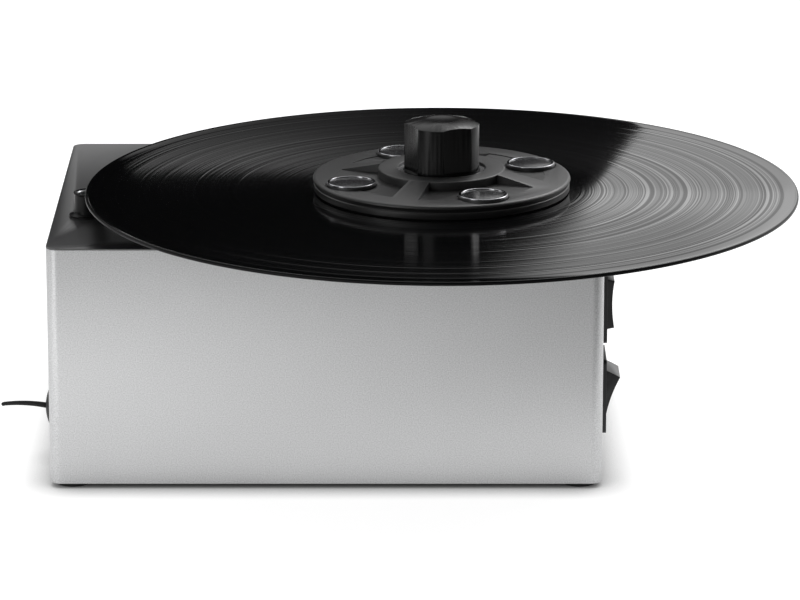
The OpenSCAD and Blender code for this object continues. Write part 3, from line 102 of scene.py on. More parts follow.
class Graph:
    """Node tree under construction, for a material, the world or a Geometry Nodes group."""

    def __init__(self, tree: bpy.types.NodeTree) -> None:
        """Empties a node tree and starts on it.

        Args:
            tree: The tree that receives the nodes.
        """
        tree.nodes.clear()
        self.tree = tree

    @classmethod
    def of_material(cls, name: str) -> tuple[bpy.types.Material, "Graph"]:
        """Makes a material.

        Args:
            name: Name of the material.

        Returns:
            The material and the graph of its empty tree.
        """
        material = bpy.data.materials.new(name)
        material.use_nodes = True
        return material, cls(material.node_tree)

    def fill(self, node: bpy.types.Node, inputs: dict[str | int, Any]) -> None:
        """Fills a node's inputs.

        Args:
            node: The node.
            inputs: Socket name or number, with a value or the socket that feeds it.
        """
        for key, value in inputs.items():
            if isinstance(value, Socket):
                self.tree.links.new(value, node.inputs[key])
            else:
                node.inputs[key].default_value = value

    def add(
        self, kind: str, inputs: dict[str | int, Any] | None = None, **settings: Any
    ) -> bpy.types.Node:
        """Adds a node and fills its inputs.

        Args:
            kind: Blender's name of the node type.
            inputs: Socket name or number, with a value or the socket that feeds it.
            **settings: Properties of the node itself.

        Returns:
            The new node.
        """
        node = self.tree.nodes.new(kind)
        for name, value in settings.items():
            setattr(node, name, value)
        self.fill(node, inputs or {})
        return node

    def math(self, operation: str, a: Any, b: Any = 0.0, c: Any = 0.0) -> Socket:
        """Adds a Math node on up to three values and returns its result."""
        return self.add("ShaderNodeMath", {0: a, 1: b, 2: c}, operation=operation).outputs[0]

    def vector(self, operation: str, a: Any, b: Any = (0.0, 0.0, 0.0)) -> bpy.types.Node:
        """Adds a Vector Math node on two vectors and returns it."""
        return self.add("ShaderNodeVectorMath", {0: a, 1: b}, operation=operation)

    def remap(self, value: Any, low: float, high: float) -> Socket:
        """Maps a value from 0 to 1 onto a range and returns the result."""
        node = self.add("ShaderNodeMapRange", {"Value": value, "To Min": low, "To Max": high})
        return node.outputs["Result"]

    def step(self, value: Any, start: float, end: float) -> Socket:
        """Adds a smooth step.

        Args:
            value: Socket with the value.
            start: Value where the step is 0.
            end: Value where it is 1, on either side of the start.

        Returns:
            The step.
        """
        return self.add(
            "ShaderNodeMapRange",
            {"Value": value, "From Min": start, "From Max": end},
            interpolation_type="SMOOTHSTEP",
        ).outputs["Result"]

    def noise(self, vector: Any, scale: float, detail: float) -> Socket:
        """Adds noise of a scale, in features to a unit of length, and returns it."""
        node = self.add("ShaderNodeTexNoise", {"Vector": vector, "Scale": scale, "Detail": detail})
        return node.outputs["Fac"]

    def rings(self, distance: Any, width: float, detail: float = 1.0) -> Socket:
        """Adds noise that changes only with a distance.

        Args:
            distance: Socket with the distance.
            width: Width of a feature.
            detail: Octaves of finer noise.

        Returns:
            A value that is mostly between 0.3 and 0.7.
        """
        return self.add(
            "ShaderNodeTexNoise",
            {"W": distance, "Scale": 1 / (width * MM), "Detail": detail},
            noise_dimensions="1D",
        ).outputs["Fac"]

    def around(self, place: Any, centre: Triple) -> tuple[Socket, Socket, Socket]:
        """Splits places into parts about an upright axis.

        Args:
            place: Socket with the places.
            centre: A point of the axis.

        Returns:
            The level vector from the axis, its length, and the height.
        """
        away = self.vector("SUBTRACT", place, tuple(at(*centre))).outputs[0]
        level = self.vector("MULTIPLY", away, (1.0, 1.0, 0.0)).outputs[0]
        radius = self.vector("LENGTH", level).outputs["Value"]
        return level, radius, self.add("ShaderNodeSeparateXYZ", {0: away}).outputs[2]

    def blend(self, factor: Any, a: Any, b: Any) -> Socket:
        """Adds a colour mix and returns its result."""
        return self.add("ShaderNodeMix", {0: factor, 6: a, 7: b}, data_type="RGBA").outputs[2]

    def bump(self, height: Any, relief: float) -> Socket:
        """Adds a relief of a depth in millimetres and returns its normal."""
        return self.add("ShaderNodeBump", {"Height": height, "Distance": relief * MM}).outputs[0]


@dataclass(frozen=True)
class Finish:
    """Surface with a colour, a gloss and a fine relief made of noise.

    Attributes:
        name: Name of the material.
        colour: Base colour.
        roughness: Mean roughness.
        metallic: 1 for bare metal and 0 for everything else.
        specular: Strength of the gloss on a surface that isn't metal.
        grain: Size of the relief's features.
        detail: Octaves of finer noise in the relief.
        relief: Height of the relief.
        mottle: Share by which the colour varies.
        clouds: Share of the variation that is broad instead of fine.
        cloud: Size of the broad features.
        cloud_detail: Octaves of finer noise in them.
        spread: Amount by which the roughness varies.
        stretch: How much finer the relief is along each axis.
        coat: Weight of a clear coat.
        coat_roughness: Roughness of that coat.
        anisotropy: How much a highlight is drawn out across the tool marks.
        centre: Axis that turned marks run round.
    """

    name: str
    colour: Triple
    roughness: float
    metallic: float = 0.0
    specular: float = 0.5
    grain: float = 0.35
    detail: float = 2.5
    relief: float = 0.006
    mottle: float = 0.08
    clouds: float = 0.35
    cloud: float = 18.0
    cloud_detail: float = 3.0
    spread: float = 0.05
    stretch: Triple = (1.0, 1.0, 1.0)
    coat: float = 0.0
    coat_roughness: float = 0.05
    anisotropy: float = 0.0
    centre: Triple = (*SPINDLE, 0.0)

    def build(self) -> bpy.types.Material:
        """Builds the material once and returns it on every later call."""
        found = bpy.data.materials.get(self.name)
        if found:
            return found
        material, graph = Graph.of_material(self.name)
        surface = graph.add(
            "ShaderNodeBsdfPrincipled",
            {
                "Metallic": self.metallic,
                "Specular IOR Level": self.specular,
                "Anisotropic": self.anisotropy,
                "Coat Weight": self.coat,
                "Coat Roughness": self.coat_roughness,
            },
        )
        self.dress(graph, graph.add("ShaderNodeTexCoord").outputs["Object"], surface)
        graph.add("ShaderNodeOutputMaterial", {"Surface": surface.outputs[0]})
        return material

    def tones(self, share: float) -> tuple[tuple[float, ...], tuple[float, ...]]:
        """Returns the colour made darker and lighter by a share."""
        dark, light = (tuple(min(1.0, c * s) for c in self.colour) for s in (1 - share, 1 + share))
        return rgba(dark), rgba(light)

    def pattern(self, graph: Graph, place: Socket) -> Socket:
        """Returns the relief's height, from 0 to 1, at each place."""
        spot = graph.vector("MULTIPLY", place, tuple(s / (self.grain * MM) for s in self.stretch))
        return graph.noise(spot.outputs[0], 1.0, self.detail)

    def dress(self, graph: Graph, place: Socket, surface: bpy.types.Node) -> None:
        """Feeds colour, roughness and relief into the surface.

        Args:
            graph: Tree of the material.
            place: Object coordinates.
            surface: Principled shader to feed.
        """
        fine = self.pattern(graph, place)
        broad = graph.noise(place, 1 / (self.cloud * MM), self.cloud_detail)
        wide = graph.math("MULTIPLY", broad, self.clouds)
        shade = graph.math("MULTIPLY_ADD", fine, 1 - self.clouds, wide)
        low, high = self.roughness - self.spread, self.roughness + self.spread
        graph.fill(
            surface,
            {
                "Base Color": graph.blend(shade, *self.tones(2 * self.mottle)),
                "Roughness": graph.remap(shade, low, high),
                "Normal": graph.bump(fine, self.relief),
            },
        )


@dataclass(frozen=True)
class Turned(Finish):
    """Metal or plastic with fine rings round an axis, as a lathe leaves them."""

    detail: float = 3.0

    def pattern(self, graph: Graph, place: Socket) -> Socket:
        """Returns rings that follow the distance from the axis and the height."""
        _, radius, height = graph.around(place, self.centre)
        return graph.rings(graph.math("ADD", radius, height), self.grain, self.detail)


@dataclass(frozen=True)
class Grooved(Finish):
    """Pressed vinyl whose grooves run round the spindle hole.

    Attributes:
        fine: Width of the finest rings.
        medium: Width of the rings that show as single lines.
        broad: Width of the bands, some of which are livelier than others.
        band: Values of the broad noise between which a band goes from calm to lively.
        swing: How much the gloss changes from ring to ring in a calm and in a lively band.
        mean: Mean weight of the gloss in such bands.
        bright: Radii of the shiny rings between tracks.
        dull: Radii of the dull rings.
        dulling: Weight of gloss that a dull ring loses.
        line: Half width of a shiny or dull ring, and of its full part.
        fine_relief: Depth of the finest rings as a share of the medium ones.
    """

    fine: float = 0.65
    medium: float = 1.4
    broad: float = 9.0
    band: Point = (0.38, 0.62)
    swing: Point = (0.9, 2.8)
    mean: Point = (0.34, 0.46)
    bright: tuple[float, ...] = (87.3, 105.0)
    dull: tuple[float, ...] = (89.2, 103.4, 121.6, 136.6, 143.9)
    dulling: float = 0.8
    line: Point = (0.9, 0.2)
    fine_relief: float = 0.35

    def dress(self, graph: Graph, place: Socket, surface: bpy.types.Node) -> None:
        """Draws the highlights out across the grooves and varies them from ring to ring.

        Args:
            graph: Tree of the material.
            place: Object coordinates.
            surface: Principled shader to feed.
        """
        level, radius, _ = graph.around(place, self.centre)
        tangent = graph.add(
            "ShaderNodeVectorTransform",
            {0: graph.vector("NORMALIZE", level).outputs[0]},
            vector_type="VECTOR",
            convert_from="OBJECT",
            convert_to="WORLD",
        )
        fine, medium = graph.rings(radius, self.fine), graph.rings(radius, self.medium)
        loud = graph.math("ADD", fine, graph.math("SUBTRACT", medium, 1.0))
        gloss = self.gloss(graph, radius, loud)
        relief = graph.bump(graph.math("MULTIPLY_ADD", fine, self.fine_relief, medium), self.relief)
        low, high = self.roughness - self.spread, self.roughness + self.spread
        graph.fill(
            surface,
            {
                "Tangent": tangent.outputs[0],
                "Coat Weight": gloss,
                "Roughness": graph.remap(loud, high, low),
                "Base Color": graph.blend(gloss, *self.tones(self.mottle)),
                "Normal": relief,
                "Coat Normal": relief,
            },
        )

    def gloss(self, graph: Graph, radius: Socket, loud: Socket) -> Socket:
        """Works out the weight of the clear gloss.

        Args:
            graph: Tree of the material.
            radius: Distance from the spindle hole.
            loud: How far a ring stands out from its neighbours, round 0.

        Returns:
            The weight, from 0 to 1.
        """
        band = graph.step(graph.rings(radius, self.broad), *self.band)
        swing, mean = graph.remap(band, *self.swing), graph.remap(band, *self.mean)
        weight = graph.math("ADD", graph.math("MULTIPLY", loud, swing), mean)
        for radii, change in ((self.bright, 1.0), (self.dull, -self.dulling)):
            for ring in radii:
                off = graph.math("ABSOLUTE", graph.math("SUBTRACT", radius, ring * MM))
                mark = graph.step(off, self.line[0] * MM, self.line[1] * MM)
                weight = graph.math("MULTIPLY_ADD", mark, change, weight)
        return graph.math("MINIMUM", graph.math("MAXIMUM", weight, 0.0), 1.0)


@dataclass(frozen=True)
class Speckled(Finish):
    """Dark glossy disc with bright flecks under a clear coat.

    Attributes:
        fleck: Colour of the flecks.
        density: Share of the surface that the flecks take.
    """

    fleck: Triple = (0.3, 0.3, 0.31)
    density: float = 0.35

    def dress(self, graph: Graph, place: Socket, surface: bpy.types.Node) -> None:
        """Scatters the flecks over the ground colour.

        Args:
            graph: Tree of the material.
            place: Object coordinates.
            surface: Principled shader to feed.
        """
        scale = 1 / (self.grain * MM)
        cells = graph.add("ShaderNodeTexVoronoi", {"Vector": place, "Scale": scale})
        shade = graph.add("ShaderNodeSeparateColor", {0: cells.outputs["Color"]}).outputs[0]
        start = 1 - self.density
        lit = graph.add("ShaderNodeMapRange", {"Value": shade, "From Min": start}).outputs[0]
        graph.fill(
            surface,
            {
                "Base Color": graph.blend(lit, rgba(self.colour), rgba(self.fleck)),
                "Roughness": graph.remap(lit, self.roughness, self.roughness + self.spread),
                "Normal": graph.bump(lit, self.relief),
            },
        )


VINYL = (0.0015, 0.0016, 0.0018)
GROOVES = Grooved(
    "grooved_vinyl", VINYL, 0.07, specular=0.15, relief=0.022, mottle=0.3, spread=0.02,
    anisotropy=0.6,
)
VINYL_EDGE = Finish("vinyl_edge", VINYL, 0.3, specular=0.1, relief=0.001)
SOCKET_BLACK = Finish("socket_plastic", (0.004, 0.004, 0.0043), 0.3, specular=0.15, grain=0.25)

FINISH_OF_SLOT: dict[str, Finish] = {
    "silver_wall": Finish(
        "blasted_aluminium", (0.6, 0.603, 0.607), 0.48, metallic=1.0,
        grain=0.5, relief=0.02, mottle=0.22, clouds=0.04, spread=0.12,
    ),
    "black_plate": Finish(
        "satin_lacquer", (0.016, 0.016, 0.017), 0.33, specular=1.0, grain=0.3, relief=0.004
    ),
    "vinyl": Turned(
        "plain_vinyl", VINYL, 0.08, specular=0.2, grain=3.0, relief=0.001, coat=0.5
    ),
    "label_paper": Finish(
        "label_paper", (0.66, 0.64, 0.58), 0.7, specular=0.3, grain=0.25, relief=0.02
    ),
    "clamp_black": Finish(
        "clamp_plastic", (0.003, 0.003, 0.0032), 0.44, specular=1.0, grain=0.22, relief=0.004
    ),
    "hub_black": Finish(
        "hub_plastic", (0.003, 0.003, 0.0032), 0.46, specular=1.0, grain=0.22, relief=0.005
    ),
    "knob_black": Finish(
        "knob_plastic", (0.0015, 0.0015, 0.0016), 0.24, specular=0.25, grain=0.25
    ),
    "chrome": Finish(
        "chrome_trim", (0.6, 0.6, 0.62), 0.12, metallic=1.0, relief=0.001, mottle=0.02
    ),
    "button_grey": Speckled(
        "speckled_cap", (0.008, 0.008, 0.009), 0.2, grain=0.22, relief=0.002, coat=0.6,
        fleck=(0.16, 0.16, 0.165), density=0.3,
    ),
    "switch_black": Finish(
        "switch_plastic", (0.016, 0.016, 0.017), 0.42, grain=0.2, relief=0.01
    ),
    "rocker_black": Finish(
        "rocker_plastic", (0.014, 0.014, 0.015), 0.3, grain=0.25, relief=0.004
    ),
    "rubber": Finish(
        "matt_rubber", (0.013, 0.013, 0.013), 0.62, specular=0.35, grain=0.5, relief=0.02,
        mottle=0.15,
    ),
    "hose_rubber": Finish(
        "hose_rubber", (0.03, 0.03, 0.031), 0.55, stretch=(1.0, 1.0, 4.0), relief=0.03
    ),
    "steel": Turned(
        "turned_steel", (0.56, 0.56, 0.57), 0.24, metallic=1.0, grain=0.25, relief=0.004
    ),
    "aluminium": Turned("turned_aluminium", (0.66, 0.67, 0.68), 0.32, metallic=1.0, grain=0.3),
    "bronze": Finish(
        "sintered_bronze", (0.48, 0.3, 0.15), 0.45, metallic=1.0, grain=0.3, relief=0.02
    ),
    "brass": Turned(
        "turned_brass", (0.72, 0.5, 0.2), 0.24, metallic=1.0, grain=0.25, relief=0.004
    ),
    "zinc_steel": Finish(
        "zinc_sheet", (0.6, 0.62, 0.65), 0.36, metallic=1.0, grain=4.0, relief=0.02,
        mottle=0.12, spread=0.1,
    ),
    "white_plastic": Finish("white_plastic", (0.78, 0.77, 0.73), 0.45, grain=0.4),
    "gear_plastic": Finish("gear_plastic", (0.8, 0.77, 0.67), 0.36, grain=0.6),
    "tank_plastic": Finish("tank_plastic", (0.7, 0.71, 0.7), 0.4, grain=1.2, relief=0.02),
    "board_green": Finish("board_mask", (0.02, 0.16, 0.06), 0.3, grain=1.5, relief=0.01, coat=0.3),
    "board_mixed": Finish("part_plastic", (0.06, 0.06, 0.065), 0.4, grain=0.4),
}
SLOT_OF_NODE = {row["node"]: row["material_slot"] for row in frame["record"]["subparts"]}


def finish_of(node: str) -> Finish:
    """Returns the finish of the material slot that a CAD node wears."""
    return FINISH_OF_SLOT[SLOT_OF_NODE[node]]


def settle(piece: bpy.types.Object, node: str) -> None:
    """Makes a finished piece stand for a CAD node and ride on its body.

    Args:
        piece: The piece.
        node: Name of the node.
    """
    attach(piece, frame["nodes"][node]["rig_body"])
    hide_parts(node)
    LOG.info("%s: %d faces, for %s", piece.name, len(piece.data.polygons), node)


def new_piece(name: str, mesh: bpy.types.Mesh) -> bpy.types.Object:
    """Makes an object at the origin.

    Args:
        name: Name of the object.
        mesh: Mesh that it holds.

    Returns:
        The object.
    """
    piece = bpy.data.objects.new(name, mesh)
    bpy.context.scene.collection.objects.link(piece)
    return piece


def bake(piece: bpy.types.Object) -> None:
    """Replaces a piece's mesh with the result of its modifiers and removes them.

    Args:
        piece: The piece.
    """
    bpy.context.view_layer.update()
    graph = bpy.context.evaluated_depsgraph_get()
    mesh = bpy.data.meshes.new_from_object(
        piece.evaluated_get(graph), preserve_all_data_layers=True, depsgraph=graph
    )
    mesh.name = piece.name
    piece.modifiers.clear()
    piece.data = mesh


@dataclass(frozen=True)
class RoundedCopy:
    """Copy of a CAD node whose sharp edges are rounded.

    Attributes:
        node: Name of the CAD node.
        name: Name of the piece.
        edge: Radius of the rounded edges.
        segments: Faces across a rounded edge.
        finish: Finish, where it isn't that of the node's slot.
        weld: Distance below which points are one point, in metres.
        flat: Angle in degrees below which neighbouring faces are one face.
        sharp: Angle in degrees above which an edge is rounded.
    """

    node: str
    name: str
    edge: float
    segments: int = 3
    finish: Finish | None = None
    weld: float = 2e-6
    flat: float = 0.4
    sharp: float = 32.0

    def mesh(self) -> bpy.types.Mesh:
        """Returns the node's mesh with its loose triangles joined into faces."""
        sheet = bmesh.new()
        sheet.from_mesh(frame["nodes"][self.node].data)
        bmesh.ops.remove_doubles(sheet, verts=sheet.verts, dist=self.weld)
        flat = math.radians(self.flat)
        bmesh.ops.dissolve_limit(sheet, angle_limit=flat, verts=sheet.verts, edges=sheet.edges)
        for face in sheet.faces:
            face.smooth = True
            face.material_index = 0
        mesh = bpy.data.meshes.new(self.name)
        sheet.to_mesh(mesh)
        sheet.free()
        mesh.materials.append((self.finish or finish_of(self.node)).build())
        return mesh

    def make(self) -> None:
        """Makes the piece, which stands for the node."""
        piece = new_piece(self.name, self.mesh())
        bevel = piece.modifiers.new("Rounded edges", "BEVEL")
        bevel.width = self.edge * MM
        bevel.segments = self.segments
        bevel.limit_method = "ANGLE"
        bevel.angle_limit = math.radians(self.sharp)
        bevel.use_clamp_overlap = True
        bevel.harden_normals = True
        bake(piece)
        settle(piece, self.node)


def rounded(points: list[Triple], steps: int = 4, most: float = 0.48) -> list[Point]:
    """Rounds the corners of a closed profile.

    Args:
        points: Corners as distance from the axis, height and corner radius.
        steps: Pieces that a rounded corner is divided into.
        most: Greatest share of a side that a rounded corner takes.

    Returns:
        The points of the rounded profile.
    """
    result: list[Point] = []
    for i, (x, z, radius) in enumerate(points):
        if radius <= 0:
            result.append((x, z))
            continue
        here = Vector((x, z))
        back = Vector(points[i - 1][:2]) - here
        ahead = Vector(points[(i + 1) % len(points)][:2]) - here
        reach = radius / math.tan(back.angle(ahead) / 2)
        cut = min(reach, most * back.length, most * ahead.length)
        start, end = here + back.normalized() * cut, here + ahead.normalized() * cut
        for t in spread(0.0, 1.0, steps):
            spot = start.lerp(here, t).lerp(here.lerp(end, t), t)
            result.append((spot.x, spot.y))
    return result


class Grower:
    """Geometry Nodes groups of this scene, and the pieces that they make.

    Attributes:
        SMOOTH_BELOW: Angle between faces below which their edge is smooth.
        WELD: Distance below which points are one point, in metres.
    """

    SMOOTH_BELOW = math.radians(40)
    WELD = 1e-6

    @staticmethod
    def group(name: str, sockets: dict[str, tuple[str, Any]]) -> tuple[Graph, Any]:
        """Starts a group with a geometry input, named inputs and a geometry output.

        Args:
            name: Name of the group.
            sockets: Input name, with its socket type and default value.

        Returns:
            The graph, and the sockets that give the inputs.
        """
        tree = bpy.data.node_groups.new(name, "GeometryNodeTree")
        face = tree.interface
        face.new_socket("Geometry", in_out="INPUT", socket_type="NodeSocketGeometry")
        for label, (kind, value) in sockets.items():
            socket = face.new_socket(label, in_out="INPUT", socket_type=f"NodeSocket{kind}")
            if value is not None:
                socket.default_value = value
        face.new_socket("Geometry", in_out="OUTPUT", socket_type="NodeSocketGeometry")
        graph = Graph(tree)
        return graph, graph.add("NodeGroupInput").outputs

    @classmethod
    def close(cls, graph: Graph, geometry: Socket, material: Socket) -> None:
        """Ends a group: realizes instances, smooths gentle edges and sets the material.

        Args:
            graph: The group's graph.
            geometry: What the group has made.
            material: Material of the whole piece.
        """
        real = graph.add("GeometryNodeRealizeInstances", {0: geometry}).outputs[0]
        smooth = graph.add("GeometryNodeSetShadeSmooth", {"Geometry": real, "Shade Smooth": True})
        angle = graph.add("GeometryNodeInputMeshEdgeAngle").outputs[0]
        sharp = graph.math("GREATER_THAN", angle, cls.SMOOTH_BELOW)
        edges = graph.add(
            "GeometryNodeSetShadeSmooth",
            {"Geometry": smooth.outputs[0], "Selection": sharp, "Shade Smooth": False},
            domain="EDGE",
        ).outputs[0]
        worn = graph.add("GeometryNodeSetMaterial", {"Geometry": edges, "Material": material})
        graph.add("NodeGroupOutput", {0: worn.outputs[0]})

    @classmethod
    def skin(cls, graph: Graph, given: Any) -> Socket:
        """Wraps a grid round the Z axis so that its rows follow a profile.

        A half and a quarter are added before numbers are rounded down, so that none falls short.

        Args:
            graph: The group's graph.
            given: The group's inputs.

        Returns:
            The turned shape.
        """
        profile = given["Geometry"]
        sizes = graph.add("GeometryNodeAttributeDomainSize", {0: profile}, component="MESH")
        count = sizes.outputs["Point Count"]
        columns = graph.math("ADD", given["Segments"], 1.0)
        rows = graph.math("ADD", count, given["Closed"])
        sheet = graph.add("GeometryNodeMeshGrid", {"Vertices X": rows, "Vertices Y": columns})
        index = graph.add("GeometryNodeInputIndex").outputs[0]
        row = graph.math("FLOOR", graph.math("DIVIDE", graph.math("ADD", index, 0.5), columns))
        column = graph.math("SUBTRACT", index, graph.math("MULTIPLY", row, columns))
        wrapped = graph.math("FLOOR", graph.math("MODULO", graph.math("ADD", row, 0.25), count))
        place = graph.add("GeometryNodeInputPosition").outputs[0]
        spot = graph.add(
            "GeometryNodeSampleIndex",
            {"Geometry": profile, "Value": place, "Index": wrapped},
            data_type="FLOAT_VECTOR",
        ).outputs[0]
        turn = graph.math("DIVIDE", column, given["Segments"])
        placed = graph.add(
            "ShaderNodeVectorRotate",
            {"Vector": spot, "Angle": graph.math("MULTIPLY", turn, math.tau)},
            rotation_type="Z_AXIS",
        ).outputs[0]
        shell = graph.add("GeometryNodeSetPosition", {0: sheet.outputs[0], "Position": placed})
        return graph.add(
            "GeometryNodeMergeByDistance", {"Geometry": shell.outputs[0], "Distance": cls.WELD}
        ).outputs[0]

    @staticmethod
    def on_circle(graph: Graph, given: Any, part: Socket) -> Socket:
        """Repeats a shape on a circle, each copy turned towards its place.

        Args:
            graph: The group's graph.
            given: The group's inputs.
            part: The shape.

        Returns:
            The instances.
        """
        index = graph.add("GeometryNodeInputIndex").outputs[0]
        share = graph.math("DIVIDE", index, given["Count"])
        angle = graph.math("MULTIPLY_ADD", share, math.tau, given["First Angle"])
        circle = graph.add(
            "ShaderNodeCombineXYZ", {0: graph.math("COSINE", angle), 1: graph.math("SINE", angle)}
        ).outputs[0]
        reach = graph.add(
            "ShaderNodeVectorMath",
            {0: circle, 1: given["Circle Radius"], 2: given["Centre"]},
            operation="MULTIPLY_ADD",
        ).outputs[0]
        spots = graph.add("GeometryNodePoints", {"Count": given["Count"], "Position": reach})
        turned = graph.add("ShaderNodeCombineXYZ", {2: angle}).outputs[0]
        return graph.add(
            "GeometryNodeInstanceOnPoints",
            {"Points": spots.outputs[0], "Instance": part, "Rotation": turned},
        ).outputs[0]

    @classmethod
    def turned(cls) -> bpy.types.NodeTree:
        """Returns the group that turns a profile round an axis and repeats it on a circle."""
        name = "Turned parts on a circle"
        found = bpy.data.node_groups.get(name)
        if found:
            return found
        graph, given = cls.group(
            name,
            {
                "Closed": ("Int", 1),
                "Segments": ("Int", 64),
                "Count": ("Int", 1),
                "Circle Radius": ("Float", 0.0),
                "First Angle": ("Float", 0.0),
                "Centre": ("Vector", None),
                "Material": ("Material", None),
            },
        )
        copies = cls.on_circle(graph, given, cls.skin(graph, given))
        cls.close(graph, copies, given["Material"])
        return graph.tree

    @classmethod
    def coil(cls) -> bpy.types.NodeTree:
        """Returns the group that winds round wire into a coil spring."""
        graph, given = cls.group(
            "Coil of round wire",
            {
                "Turns": ("Float", 7.0),
                "Coil Radius": ("Float", 0.006),
                "Wire Radius": ("Float", 0.0005),
                "Steps": ("Int", 40),
                "Wire Steps": ("Int", 14),
                "Height": ("Float", 0.02),
                "Centre": ("Vector", None),
                "Material": ("Material", None),
            },
        )
        path = graph.add(
            "GeometryNodeCurveSpiral",
            {
                "Resolution": given["Steps"],
                "Rotations": given["Turns"],
                "Start Radius": given["Coil Radius"],
                "End Radius": given["Coil Radius"],
                "Height": given["Height"],
            },
        )
        wire = graph.add(
            "GeometryNodeCurvePrimitiveCircle",
            {"Resolution": given["Wire Steps"], "Radius": given["Wire Radius"]},
        )
        rod = graph.add(
            "GeometryNodeCurveToMesh",
            {"Curve": path.outputs[0], "Profile Curve": wire.outputs[0], "Fill Caps": True},
        )
        moved = graph.add(
            "GeometryNodeTransform", {"Geometry": rod.outputs[0], "Translation": given["Centre"]}
        )
        cls.close(graph, moved.outputs[0], given["Material"])
        return graph.tree

    @staticmethod
    def grow(
        name: str, base: bpy.types.Mesh, tree: bpy.types.NodeTree, values: dict[str, Any]
    ) -> bpy.types.Object:
        """Runs a group on a base mesh and keeps the result as a plain mesh.

        Args:
            name: Name of the new piece.
            base: Mesh that the group starts from.
            tree: The Geometry Nodes group.
            values: Input name with its value.

        Returns:
            The new piece.
        """
        piece = new_piece(name, base)
        modifier = piece.modifiers.new(tree.name, "NODES")
        modifier.node_group = tree
        for item in tree.interface.items_tree:
            if item.item_type == "SOCKET" and item.in_out == "INPUT" and item.name in values:
                modifier[item.identifier] = values[item.name]
        bake(piece)
        if piece.data.materials[0] is None:
            piece.data.materials.pop(index=0)
        return piece


@dataclass(frozen=True)
class Lathe:
    """Turned piece, made once or repeated on a circle.

    Attributes:
        name: Name of the piece.
        finish: Finish of the piece.
        profile: Points as distance from the axis and height, running outwards along the top
            and back along the underside.
        height: Height of the profile's zero.
        closed: True for a ring and False for a piece whose profile ends on the axis.
        segments: Faces round one piece.
        count: Pieces on the circle.
        circle: Radius of the circle round the spindle.
        first: Angle of the first piece, in degrees.
    """

    name: str
    finish: Finish
    profile: list[Point]
    height: float
    closed: bool = True
    segments: int = 96
    count: int = 1
    circle: float = 0.0
    first: float = 0.0

    def make(self) -> bpy.types.Object:
        """Returns the turned piece."""
        mesh = bpy.data.meshes.new(f"{self.name}_profile")
        corners = [at(x, 0.0, z) for x, z in self.profile]
        mesh.from_pydata(corners, [(i, i + 1) for i in range(len(corners) - 1)], [])
        values = {
            "Closed": int(self.closed),
            "Segments": self.segments,
            "Count": self.count,
            "Circle Radius": self.circle * MM,
            "First Angle": math.radians(self.first),
            "Centre": tuple(at(*SPINDLE, self.height)),
            "Material": self.finish.build(),
        }
        return Grower.grow(self.name, mesh, Grower.turned(), values)


